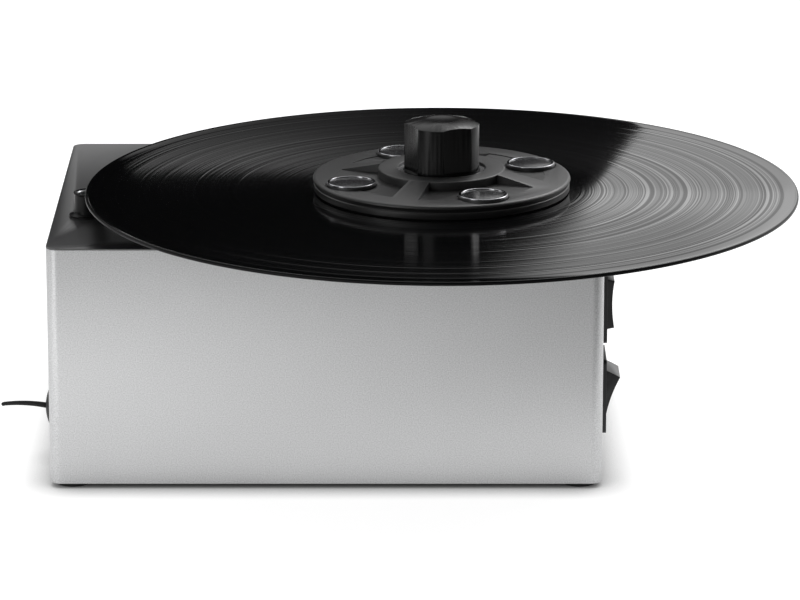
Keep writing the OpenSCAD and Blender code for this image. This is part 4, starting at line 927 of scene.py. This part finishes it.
@dataclass(frozen=True)
class Record:
    """Twelve inch record with its bead, track gaps and run-out.

    Attributes:
        radius: Radius of the record.
        hole: Radius of the spindle hole.
        hole_edge: Size of the slope at the hole's edge.
        rim: Thickness at the rim and round the label.
        grooved: Thickness of the grooved area.
        label: Radius of the paper label.
        label_ring: Radius of a ring of points under the label.
        label_depth: Thickness of the label, which lies in a recess.
        label_step: Width of the recess's edge.
        land: Width of the level land round the label.
        ramp: Width of the slope from that land to the grooved area.
        ramp_steps: Pieces that the slope is divided into.
        bead: Width of the raised rim.
        edge: Radius of the rounded rim.
        bend_steps: Pieces that the rounded rim, the bead's slope and a track gap are divided into.
        groove_start: Radius where the grooves end at the run-out.
        groove_end: Radius where the grooves begin at the rim.
        gaps: Radius and width of the smooth rings between tracks.
        gap_depth: Depth of those rings.
        segments: Faces round the record.
    """

    radius: float = 150.8
    hole: float = 3.63
    hole_edge: float = 0.2
    rim: float = 1.6
    grooved: float = 1.3
    label: float = 50.0
    label_ring: float = 20.0
    label_depth: float = 0.15
    label_step: float = 0.3
    land: float = 1.6
    ramp: float = 1.6
    ramp_steps: int = 8
    bead: float = 1.6
    edge: float = 0.6
    bend_steps: int = 6
    groove_start: float = 58.0
    groove_end: float = 145.0
    gaps: tuple[Point, ...] = (
        (87.3, 1.2), (105.0, 1.3), (120.0, 0.9), (129.0, 0.8), (137.0, 0.9), (144.4, 0.9),
    )
    gap_depth: float = 0.014
    segments: int = 256

    def height(self, r: float) -> float:
        """Finds the upper surface's height above the record's middle plane.

        Args:
            r: Distance from the spindle.

        Returns:
            The height.
        """
        low, high = self.grooved / 2, self.rim / 2
        if r <= self.label:
            return high - self.label_depth
        if r >= self.radius - self.bead / 2:
            return high
        inner = (self.label + self.land + self.ramp - r) / self.ramp
        outer = (r - self.radius + self.bead) / (self.bead / 2)
        ease = min(1.0, max(0.0, inner, outer))
        dip = sum(max(0.0, 1 - (2 * (r - middle) / width) ** 2) for middle, width in self.gaps)
        return low + (high - low) * ease * ease * (3 - 2 * ease) - self.gap_depth * dip

    def radii(self) -> list[float]:
        """Returns the radii that the surface is divided at, closer together where it bends."""
        slope, bead = self.label + self.land, self.radius - self.bead
        grooves = int(self.groove_end - self.groove_start)
        steps = [self.hole + self.hole_edge, self.label_ring, self.label]
        steps += [self.label + self.label_step, self.radius - self.edge]
        steps += spread(slope, slope + self.ramp, self.ramp_steps)
        steps += spread(self.groove_start, self.groove_end, grooves)
        for middle, width in self.gaps:
            steps += spread(middle - width / 2, middle + width / 2, self.bend_steps)
        steps += spread(bead, bead + self.bead / 2, self.bend_steps)
        return sorted(set(round(step, 4) for step in steps))

    def profile(self) -> list[Point]:
        """Returns the outline of half a cross section about the middle plane."""
        top = [(r, self.height(r)) for r in self.radii()]
        label_end = next(i for i, (r, _) in enumerate(top) if r > self.label)
        top[label_end] = (self.label + self.label_step, self.rim / 2)
        inset, drop = self.radius - self.edge, self.rim / 2 - self.edge
        angles = spread(0.0, math.pi / 2, self.bend_steps)[1:]
        turn = [(inset + self.edge * math.sin(a), drop + self.edge * math.cos(a)) for a in angles]
        upper = [(self.hole, self.height(0) - self.hole_edge), *top, *turn]
        return upper + [(r, -z) for r, z in reversed(upper)]

    def make(self) -> None:
        """Makes the record in plain and grooved vinyl."""
        middle = (RECORD_BOTTOM + RECORD_TOP) / 2
        finish = finish_of("record")
        piece = Lathe("vinyl_record", finish, self.profile(), middle, segments=self.segments).make()
        for extra in (GROOVES, VINYL_EDGE):
            piece.data.materials.append(extra.build())
        for face in piece.data.polygons:
            x, y, _ = face.center / MM
            reach = math.hypot(x - SPINDLE[0], y - SPINDLE[1])
            if self.groove_start < reach < self.groove_end:
                face.material_index = 1
            elif reach > self.radius - self.edge:
                face.material_index = 2
        settle(piece, "record")


@dataclass(frozen=True)
class Clamp:
    """Screw clamp: disc, hub ring, trim discs and knob. Heights are above the record.

    Attributes:
        disc: The clamp's disc.
        knob: The clamp's knob.
        hub_seat: Height of the hub ring's underside.
        hub_top: Height of the hub ring's top.
        hub_hole: Radius of the hole in the hub ring.
        hub_radius: Outer radius of the hub ring.
        hub_edges: Radii of the inner and the outer edge of its top.
        hub_segments: Faces round the hub ring.
        groove_bottom: Height of the underside of the circlip's groove in that hole.
        groove_top: Height of the groove's upper side.
        groove_radius: Radius of the groove's bottom.
        button_circle: Distance of the trim discs from the spindle.
        button_count: How many trim discs there are.
        button_angle: Angle of the first trim disc.
        button_seat: Height of their bosses.
        button_segments: Faces round a trim disc.
        button_radius: Radius of a chrome ring.
        ring_width: Width of a chrome ring.
        ring_height: Height of a chrome ring above its boss.
        ring_edges: Radii of the inner and the outer edge of its top.
        fine_edge: Radius of an edge that is only broken.
        well: Depth of the well that holds the disc.
        cap_gap: Gap between a cap and its ring.
        cap_sink: How far a cap's edge lies below its ring's top.
        dome: Height of a cap's dome.
        dome_steps: Rings of faces on the dome.
    """

    disc: RoundedCopy = RoundedCopy("clamp_disc", "clamp_plate", edge=0.28)
    knob: RoundedCopy = RoundedCopy("clamp_knob", "clamp_handle", edge=0.45)
    hub_seat: float = 4.7
    hub_top: float = 9.5
    hub_hole: float = 18.5
    hub_radius: float = 26.78
    hub_edges: Point = (0.4, 0.6)
    hub_segments: int = 128
    groove_bottom: float = 7.5
    groove_top: float = 8.4
    groove_radius: float = 18.82
    button_circle: float = 41.6
    button_count: int = 4
    button_angle: float = 24.0
    button_seat: float = 6.8
    button_segments: int = 72
    button_radius: float = 10.2
    ring_width: float = 1.3
    ring_height: float = 0.7
    ring_edges: Point = (0.3, 0.5)
    fine_edge: float = 0.1
    well: float = 1.2
    cap_gap: float = 0.02
    cap_sink: float = 0.4
    dome: float = 0.45
    dome_steps: int = 8

    def make(self) -> None:
        """Makes every piece of the clamp."""
        self.disc.make()
        self.knob.make()
        self.make_hub()
        self.make_rings()
        self.make_caps()

    def make_hub(self) -> None:
        """Makes the plain ring round the knob, with the circlip's groove."""
        profile = rounded(
            [
                (self.hub_hole, self.hub_top, self.hub_edges[0]),
                (self.hub_radius, self.hub_top, self.hub_edges[1]),
                (self.hub_radius, self.hub_seat, self.fine_edge),
                (self.hub_hole, self.hub_seat, self.fine_edge),
                (self.hub_hole, self.groove_bottom, 0.0),
                (self.groove_radius, self.groove_bottom, 0.0),
                (self.groove_radius, self.groove_top, 0.0),
                (self.hub_hole, self.groove_top, 0.0),
            ]
        )
        finish = finish_of("hub_ring")
        hub = Lathe("hub_collar", finish, profile, RECORD_TOP, segments=self.hub_segments)
        settle(hub.make(), "hub_ring")

    def make_buttons(self, node: str, name: str, profile: list[Point], closed: bool) -> None:
        """Makes a piece of every trim disc.

        Args:
            node: CAD node that the pieces stand for.
            name: Name of the piece.
            profile: Outline of its cross section, from the axis of the disc.
            closed: True for a ring.
        """
        pieces = Lathe(
            name, finish_of(node), profile, RECORD_TOP + self.button_seat, closed=closed,
            segments=self.button_segments, count=self.button_count,
            circle=self.button_circle, first=self.button_angle,
        )
        settle(pieces.make(), node)

    def make_rings(self) -> None:
        """Makes the chrome rings."""
        inner, outer = self.button_radius - self.ring_width, self.button_radius
        neck = outer - self.ring_width / 2
        corners = [
            (inner, self.ring_height, self.ring_edges[0]),
            (outer, self.ring_height, self.ring_edges[1]),
            (outer, 0.0, self.fine_edge),
            (neck, 0.0, 0.0),
            (neck, -self.well, 0.0),
            (inner, -self.well, 0.0),
        ]
        self.make_buttons("button_rings", "trim_rings", rounded(corners, steps=5), True)

    def make_caps(self) -> None:
        """Makes the domed caps inside the rings."""
        reach = self.button_radius - self.ring_width - self.cap_gap
        base = self.ring_height - self.cap_sink
        shares = spread(0.0, 1.0, self.dome_steps)
        profile = [(reach * share, base + self.dome * (1 - share**2)) for share in shares]
        profile += [(reach, -self.well), (0.0, -self.well)]
        self.make_buttons("button_caps", "trim_caps", profile, False)


@dataclass(frozen=True)
class Case:
    """Wrapped wall, lacquered top with the arm socket, drain stopper and feet.

    Attributes:
        pieces: Its outer pieces, with the radius of each one's edges.
    """

    pieces: tuple[RoundedCopy, ...] = (
        RoundedCopy("case_sleeve", "wrapped_wall", edge=0.35),
        RoundedCopy("top_plate", "top_cover", edge=0.3),
        RoundedCopy("arm_socket", "arm_holder", edge=0.2, segments=2, finish=SOCKET_BLACK),
        RoundedCopy("drain_plug", "drain_stopper", edge=0.25, segments=2),
        RoundedCopy("drain_tab", "stopper_tab", edge=0.05, segments=2),
        RoundedCopy("feet", "rubber_feet", edge=0.3, segments=2),
    )

    def make(self) -> None:
        """Makes the outer pieces of the case."""
        for piece in self.pieces:
            piece.make()


@dataclass(frozen=True)
class Switches:
    """Two rocker switches on the right side.

    Attributes:
        bezel_edge: Radius of the housings' edges.
        rocker_edge: Radius of the rockers' edges.
    """

    bezel_edge: float = 0.5
    rocker_edge: float = 0.35

    def make(self) -> None:
        """Makes the housings and the rockers."""
        for use, place in (("direction", "upper"), ("vacuum", "lower")):
            RoundedCopy(f"{use}_switch", f"{place}_bezel", self.bezel_edge).make()
        for use, place in (("direction", "upper"), ("vacuum", "lower")):
            RoundedCopy(f"{use}_rocker", f"{place}_rocker", self.rocker_edge).make()


@dataclass(frozen=True)
class ArmSpring:
    """Coil spring under the arm sleeve's collar.

    Attributes:
        centre: Axis of the spring and the height of its lowest wire.
        rise: Height of the coil between the middles of its end wires.
        coil_radius: Radius of the coil.
        wire_radius: Radius of the wire.
        turns: Turns of the coil.
        steps: Pieces that a turn is divided into.
        wire_steps: Faces round the wire.
        keep: Share of its length that stays when the sleeve is pressed down; not used.
    """

    centre: Triple = (-131.65, 6.3, 66.85)
    rise: float = 16.5
    coil_radius: float = 6.1
    wire_radius: float = 0.45
    turns: float = 7.0
    steps: int = 40
    wire_steps: int = 14
    keep: float = 0.77

    def make(self) -> None:
        """Makes the spring."""
        values = {
            "Turns": self.turns,
            "Coil Radius": self.coil_radius * MM,
            "Wire Radius": self.wire_radius * MM,
            "Steps": self.steps,
            "Wire Steps": self.wire_steps,
            "Height": self.rise * MM,
            "Centre": tuple(at(*self.centre)),
            "Material": finish_of("arm_spring").build(),
        }
        start = bpy.data.meshes.new("spring_start")
        piece = Grower.grow("sleeve_spring", start, Grower.coil(), values)
        settle(piece, "arm_spring")
        x, y, z = self.centre
        foot = tuple(at(x, y, z - self.wire_radius))
        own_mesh(piece)


class Ray(Enum):
    """Kinds of ray that a stage object may be seen by."""

    CAMERA = "visible_camera"
    DIFFUSE = "visible_diffuse"
    GLOSSY = "visible_glossy"
    TRANSMISSION = "visible_transmission"
    SHADOW = "visible_shadow"


def stage_sheet(name: str, corners: list[Triple]) -> bpy.types.Object:
    """Makes a flat object of the stage.

    Args:
        name: Name of the object.
        corners: Its corners, in metres.

    Returns:
        The object.
    """
    mesh = bpy.data.meshes.new(name)
    mesh.from_pydata(corners, [], [tuple(range(len(corners)))])
    piece = new_piece(name, mesh)
    return piece


def glowing_card(name: str, corners: list[Triple], shade: Callable[..., Any]) -> None:
    """Places a glowing card that only reflections see.

    Args:
        name: Name of the card and of its material.
        corners: Its corners, in metres.
        shade: Returns the strength for a graph, X and Z.
    """
    card = stage_sheet(name, corners)
    material, graph = Graph.of_material(name)
    place = graph.add("ShaderNodeTexCoord").outputs["Object"]
    parts = graph.add("ShaderNodeSeparateXYZ", {0: place}).outputs
    light = graph.add("ShaderNodeEmission", {"Strength": shade(graph, parts[0], parts[2])})
    graph.add("ShaderNodeOutputMaterial", {"Surface": light.outputs[0]})
    card.data.materials.append(material)
    for ray in Ray:
        setattr(card, ray.value, ray is Ray.GLOSSY)


@dataclass(frozen=True)
class BackCard:
    """Card behind the record, with the lights and darks that the grooves mirror, in metres.

    Attributes:
        distance: Distance of the card behind the spindle.
        outline: Corners of the card as X and Z.
        soft: Half height of the soft step at a straight edge.
        black: Strength of the dark part.
        field_top: Height of the straight edge over the grey field.
        field_lean: Distance that the field's left border moves right for each metre downwards.
        field_side: Range of X, at the field's top, over which it begins.
        field_fade: Range of X over which the field brightens.
        field_glow: Its strength at the ends of that range.
        field_rise: Range of height over which the field reaches its full strength.
        field_low: Share of the strength below that range.
        white_start: Place where the white part begins, as X and Z.
        white_lean: Distance that its border moves left for each metre upwards.
        blur: Width of that border, low down and higher up.
        blur_rise: Range of height above the place over which the border widens.
        white_end: Range of X, from the far end, over which the white part reaches its strength.
        sky_edge: Height above which the white part is brighter.
        white_glow: Strength of the white part, below and above that height.
        dim: Strength that the white part loses where it is dimmed.
        dim_rise: Range of height over which it is dimmed.
        dim_side: Range of X over which it is dimmed.
        top_rise: Range of height over which the upper part brightens.
        top_glow: Strength of the upper part.
    """

    distance: float = 0.26
    outline: tuple[Point, ...] = (
        (-1.7, 0.1), (-0.185, 0.1), (-0.17, 0.15), (-0.14, 0.14), (-0.115, 0.13),
        (-0.105, 0.12), (1.7, 0.12), (1.7, 0.3), (-1.7, 0.3),
    )
    soft: float = 0.0005
    black: float = 0.003
    field_top: float = 0.1735
    field_lean: float = 1.306
    field_side: Point = (-0.132, -0.127)
    field_fade: Point = (0.05, -0.08)
    field_glow: Point = (0.03, 0.3)
    field_rise: Point = (0.146, 0.18)
    field_low: float = 0.2
    white_start: Point = (0.1145, 0.155)
    white_lean: float = 0.756
    blur: Point = (0.003, 0.048)
    blur_rise: Point = (0.02, 0.075)
    white_end: Point = (0.75, 0.5)
    sky_edge: float = 0.1835
    white_glow: Point = (0.88, 1.15)
    dim: float = 0.42
    dim_rise: Point = (0.191, 0.2)
    dim_side: Point = (0.2, 0.13)
    top_rise: Point = (0.234, 0.3)
    top_glow: float = 0.9

    def make(self) -> None:
        """Places the card."""
        corners = [(x, self.distance, z) for x, z in self.outline]
        glowing_card("back_card", corners, self.shade)

    def shade(self, graph: Graph, x: Socket, z: Socket) -> Socket:
        """Finds the card's strength, which is that of its brightest part.

        Args:
            graph: Tree of the card's material.
            x: Place across the card.
            z: Height on the card.

        Returns:
            The strength.
        """
        both = graph.math("MAXIMUM", self.field(graph, x, z), self.white(graph, x, z))
        upper = graph.math("MULTIPLY", graph.step(z, *self.top_rise), self.top_glow)
        return graph.math("MAXIMUM", both, upper)

    def field(self, graph: Graph, x: Socket, z: Socket) -> Socket:
        """Finds the strength of the grey field and of the black round it.

        Args:
            graph: Tree of the card's material.
            x: Place across the card.
            z: Height on the card.

        Returns:
            The strength.
        """
        below = graph.step(z, self.field_top + self.soft, self.field_top - self.soft)
        rise = graph.math("SUBTRACT", z, self.field_top)
        inside = graph.math("MULTIPLY_ADD", rise, self.field_lean, x)
        area = graph.math("MULTIPLY", below, graph.step(inside, *self.field_side))
        glow = graph.remap(graph.step(x, *self.field_fade), *self.field_glow)
        part = graph.remap(graph.step(z, *self.field_rise), self.field_low, 1.0)
        return graph.math("MULTIPLY_ADD", area, graph.math("MULTIPLY", glow, part), self.black)

    def white(self, graph: Graph, x: Socket, z: Socket) -> Socket:
        """Finds the strength of the white part, whose border leans and is softer higher up.

        Args:
            graph: Tree of the card's material.
            x: Place across the card.
            z: Height on the card.

        Returns:
            The strength.
        """
        rise = graph.math("SUBTRACT", z, self.white_start[1])
        past = graph.math("MULTIPLY_ADD", rise, self.white_lean, x)
        past = graph.math("SUBTRACT", past, self.white_start[0])
        width = graph.remap(graph.step(rise, *self.blur_rise), *self.blur)
        share = graph.step(graph.math("DIVIDE", past, width), -0.5, 0.5)
        above = graph.step(z, self.sky_edge - self.soft, self.sky_edge + self.soft)
        high, near = graph.step(z, *self.dim_rise), graph.step(x, *self.dim_side)
        dimmed = graph.math("MULTIPLY", high, near)
        glow = graph.math("MULTIPLY_ADD", dimmed, -self.dim, graph.remap(above, *self.white_glow))
        part = graph.math("MULTIPLY", share, glow)
        return graph.math("MULTIPLY", part, graph.step(x, *self.white_end))


@dataclass(frozen=True)
class DarkRoom:
    """Room that only reflections see, in metres.

    Attributes:
        side: Distance of the left and the right wall.
        front: Distance of the front wall.
        back: Distance of the side walls' back ends.
        top: Height of the ceiling.
        fade: Range of X over which the room darkens to the right.
        wall_glow: Strength of the walls.
        low_glow: Strength of the walls' lowest part, which only the case reflects.
        low_right: Share of that strength that is left at the right.
        low_height: Heights where that part has ended and where it begins to end.
        ceiling_glow: Strength of the ceiling.
        ground: Height of the ground card and of the walls' lower edges.
        ground_end: Distance of the ground card's back edge, from the spindle.
        ground_glow: Strength of the ground card at the left and the right.
        ground_fade: Range of X over which the ground card darkens.
    """

    side: float = 1.7
    front: float = 1.5
    back: float = 0.28
    top: float = 1.95
    fade: Point = (-0.3, 0.3)
    wall_glow: float = 0.02
    low_glow: float = 1.0
    low_right: float = 0.55
    low_height: Point = (0.11, 0.09)
    ceiling_glow: float = 0.15
    ground: float = 0.004
    ground_end: float = -0.12
    ground_glow: Point = (1.65, 0.5)
    ground_fade: Point = (-0.3, 0.2)

    def make(self) -> None:
        """Places the ground, the walls and the ceiling."""
        side, front, back = self.side, -self.front, self.back
        glowing_card("ground_card", self.level(self.ground, self.ground_end), self.ground_light)
        for name, start, end in (
            ("front_card", (-side, front), (side, front)),
            ("left_card", (-side, front), (-side, back)),
            ("right_card", (side, front), (side, back)),
        ):
            glowing_card(name, self.wall(start, end), self.wall_light)
        glowing_card("top_card", self.level(self.top, back), self.ceiling_light)

    def level(self, height: float, back: float) -> list[Triple]:
        """Returns the corners of a level card from the front wall to a place further back."""
        left, right, near = -self.side, self.side, -self.front
        ends = ((left, near), (right, near), (right, back), (left, back))
        return [(x, y, height) for x, y in ends]

    def wall(self, start: Point, end: Point) -> list[Triple]:
        """Returns the corners of an upright card between two places."""
        return [(*start, self.ground), (*start, self.top), (*end, self.top), (*end, self.ground)]

    def wall_light(self, graph: Graph, x: Socket, z: Socket) -> Socket:
        """Finds the strength of a wall.

        Args:
            graph: Tree of the card's material.
            x: Place across the room.
            z: Height.

        Returns:
            The strength.
        """
        share = graph.remap(graph.step(x, *self.fade), 1.0, self.low_right)
        low = graph.math("MULTIPLY", graph.step(z, *self.low_height), share)
        return graph.remap(low, self.wall_glow, self.low_glow)

    def ground_light(self, graph: Graph, x: Socket, z: Socket) -> Socket:
        """Returns the strength of the ground card, which falls from left to right."""
        return graph.remap(graph.step(x, *self.ground_fade), *self.ground_glow)

    def ceiling_light(self, graph: Graph, x: Socket, z: Socket) -> float:
        """Returns the strength of the ceiling, which is the same all over."""
        return self.ceiling_glow


@dataclass(frozen=True)
class Lamp:
    """Soft area lamp.

    Attributes:
        name: Name of the lamp.
        place: Where it hangs.
        target: What it points at.
        size: Width and height, in metres.
        power: Power in watts.
        mirrored: True where reflections show it.
    """

    name: str
    place: Triple
    target: Triple
    size: Point
    power: float
    mirrored: bool = True

    def make(self) -> None:
        """Hangs the lamp."""
        data = bpy.data.lights.new(self.name, "AREA")
        data.shape = "RECTANGLE"
        data.size, data.size_y = self.size
        data.energy = self.power
        lamp = bpy.data.objects.new(self.name, data)
        lamp.location = at(*self.place)
        aim = at(*self.target) - at(*self.place)
        lamp.rotation_euler = aim.to_track_quat("-Z", "Y").to_euler()
        lamp.visible_camera = False
        lamp.visible_glossy = self.mirrored
        bpy.context.scene.collection.objects.link(lamp)


@dataclass(frozen=True)
class Studio:
    """World, camera, floor, cards and lamps.

    Attributes:
        ambient: Strength of the world as it lights the object.
        eye: Place of the camera.
        tilt: Camera's angle from straight down, in degrees.
        lens: Focal length for the sensor.
        sensor: Width of the sensor.
        sight: Distance beyond which the camera sees nothing, in metres.
        floor_reach: Distance of the floor's edges, in metres.
        floor_grey: Colour of the floor.
        floor_glow: Strength of the floor where the background shows in it.
        contact: Width of the shadow where the case stands, in metres.
        contact_depth: How fast that shadow darkens.
        contact_samples: Rays that look for the case at a place of the floor.
        stage: What stands and hangs round the object.
    """

    ambient: float = 0.45
    eye: Triple = (1.02, -1965.81, 613.26)
    tilt: float = 74.505
    lens: float = 215.35
    sensor: float = 36.0
    sight: float = 50.0
    floor_reach: float = 6.0
    floor_grey: float = 0.35
    floor_glow: float = 0.88
    contact: float = 0.016
    contact_depth: float = 1.5
    contact_samples: int = 8
    stage: tuple[BackCard | DarkRoom | Lamp, ...] = (
        BackCard(),
        DarkRoom(),
        Lamp("key", (-1300, -1300, 700), (-60, -50, 60), (1.3, 1.3), 8.5),
        Lamp("back", (520, 700, 680), (20, 0, 120), (0.8, 0.5), 5.0),
        Lamp("top", (100, 200, 1800), (0, 0, 100), (1.6, 1.6), 11.0, mirrored=False),
    )

    def make(self) -> None:
        """Makes the whole studio."""
        bpy.context.scene.view_settings.view_transform = "Standard"
        self.make_world()
        self.make_camera()
        self.make_floor()
        for item in self.stage:
            item.make()

    def make_world(self) -> None:
        """Makes a world that shows white and lights softly."""
        world = bpy.data.worlds.new("studio")
        bpy.context.scene.world = world
        world.use_nodes = True
        graph = Graph(world.node_tree)
        strength = graph.remap(self.shown(graph), self.ambient, 1.0)
        light = graph.add("ShaderNodeBackground", {"Color": (1, 1, 1, 1), "Strength": strength})
        graph.add("ShaderNodeOutputWorld", {"Surface": light.outputs[0]})

    @staticmethod
    def shown(graph: Graph) -> Socket:
        """Returns 1 for rays that show the background and 0 for rays that carry its light."""
        path = graph.add("ShaderNodeLightPath").outputs
        seen = graph.math("MAXIMUM", path["Is Camera Ray"], path["Is Glossy Ray"])
        return graph.math("MAXIMUM", seen, path["Is Transmission Ray"])

    def make_camera(self) -> None:
        """Places the camera at the photograph's angle."""
        data = bpy.data.cameras.new("camera")
        data.lens = self.lens
        data.sensor_width = self.sensor
        data.clip_end = self.sight
        camera = bpy.data.objects.new("camera", data)
        camera.location = at(*self.eye)
        camera.rotation_euler = (math.radians(self.tilt), 0.0, 0.0)
        bpy.context.scene.collection.objects.link(camera)
        bpy.context.scene.camera = camera

    def make_floor(self) -> None:
        """Makes a pale floor that keeps the shadow close to the case."""
        reach = self.floor_reach
        corners = [(-reach, -reach, 0), (reach, -reach, 0), (reach, reach, 0), (-reach, reach, 0)]
        floor = stage_sheet("floor", corners)
        material, graph = Graph.of_material("pale_floor")
        open_sky = graph.add(
            "ShaderNodeAmbientOcclusion", {"Distance": self.contact}, samples=self.contact_samples
        ).outputs["AO"]
        shadow = graph.math("POWER", open_sky, self.contact_depth)
        lit = graph.math("MULTIPLY", self.shown(graph), shadow)
        strength = graph.math("MULTIPLY", lit, self.floor_glow)
        matt = graph.add("ShaderNodeBsdfDiffuse", {"Color": rgba((self.floor_grey,) * 3)})
        glow = graph.add("ShaderNodeEmission", {"Strength": strength})
        both = graph.add("ShaderNodeAddShader", {0: matt.outputs[0], 1: glow.outputs[0]})
        graph.add("ShaderNodeOutputMaterial", {"Surface": both.outputs[0]})
        floor.data.materials.append(material)


def dress_nodes() -> None:
    """Gives every CAD node the finish of its material slot."""
    for name, node in frame["nodes"].items():
        material = finish_of(name).build()
        for slot in node.material_slots:
            slot.material = material
        if not node.material_slots:
            node.data.materials.append(material)
    LOG.info("dressed %d nodes", len(frame["nodes"]))


def main() -> None:
    """Builds the studio and every sub-assembly."""
    logging.basicConfig(level=logging.INFO, format="%(message)s")
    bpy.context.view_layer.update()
    Studio().make()
    dress_nodes()
    for part in (Case(), Record(), Clamp(), Switches(), ArmSpring()):
        part.make()
        LOG.info("%s is done", type(part).__name__)


if __name__ == "__main__":
    main()
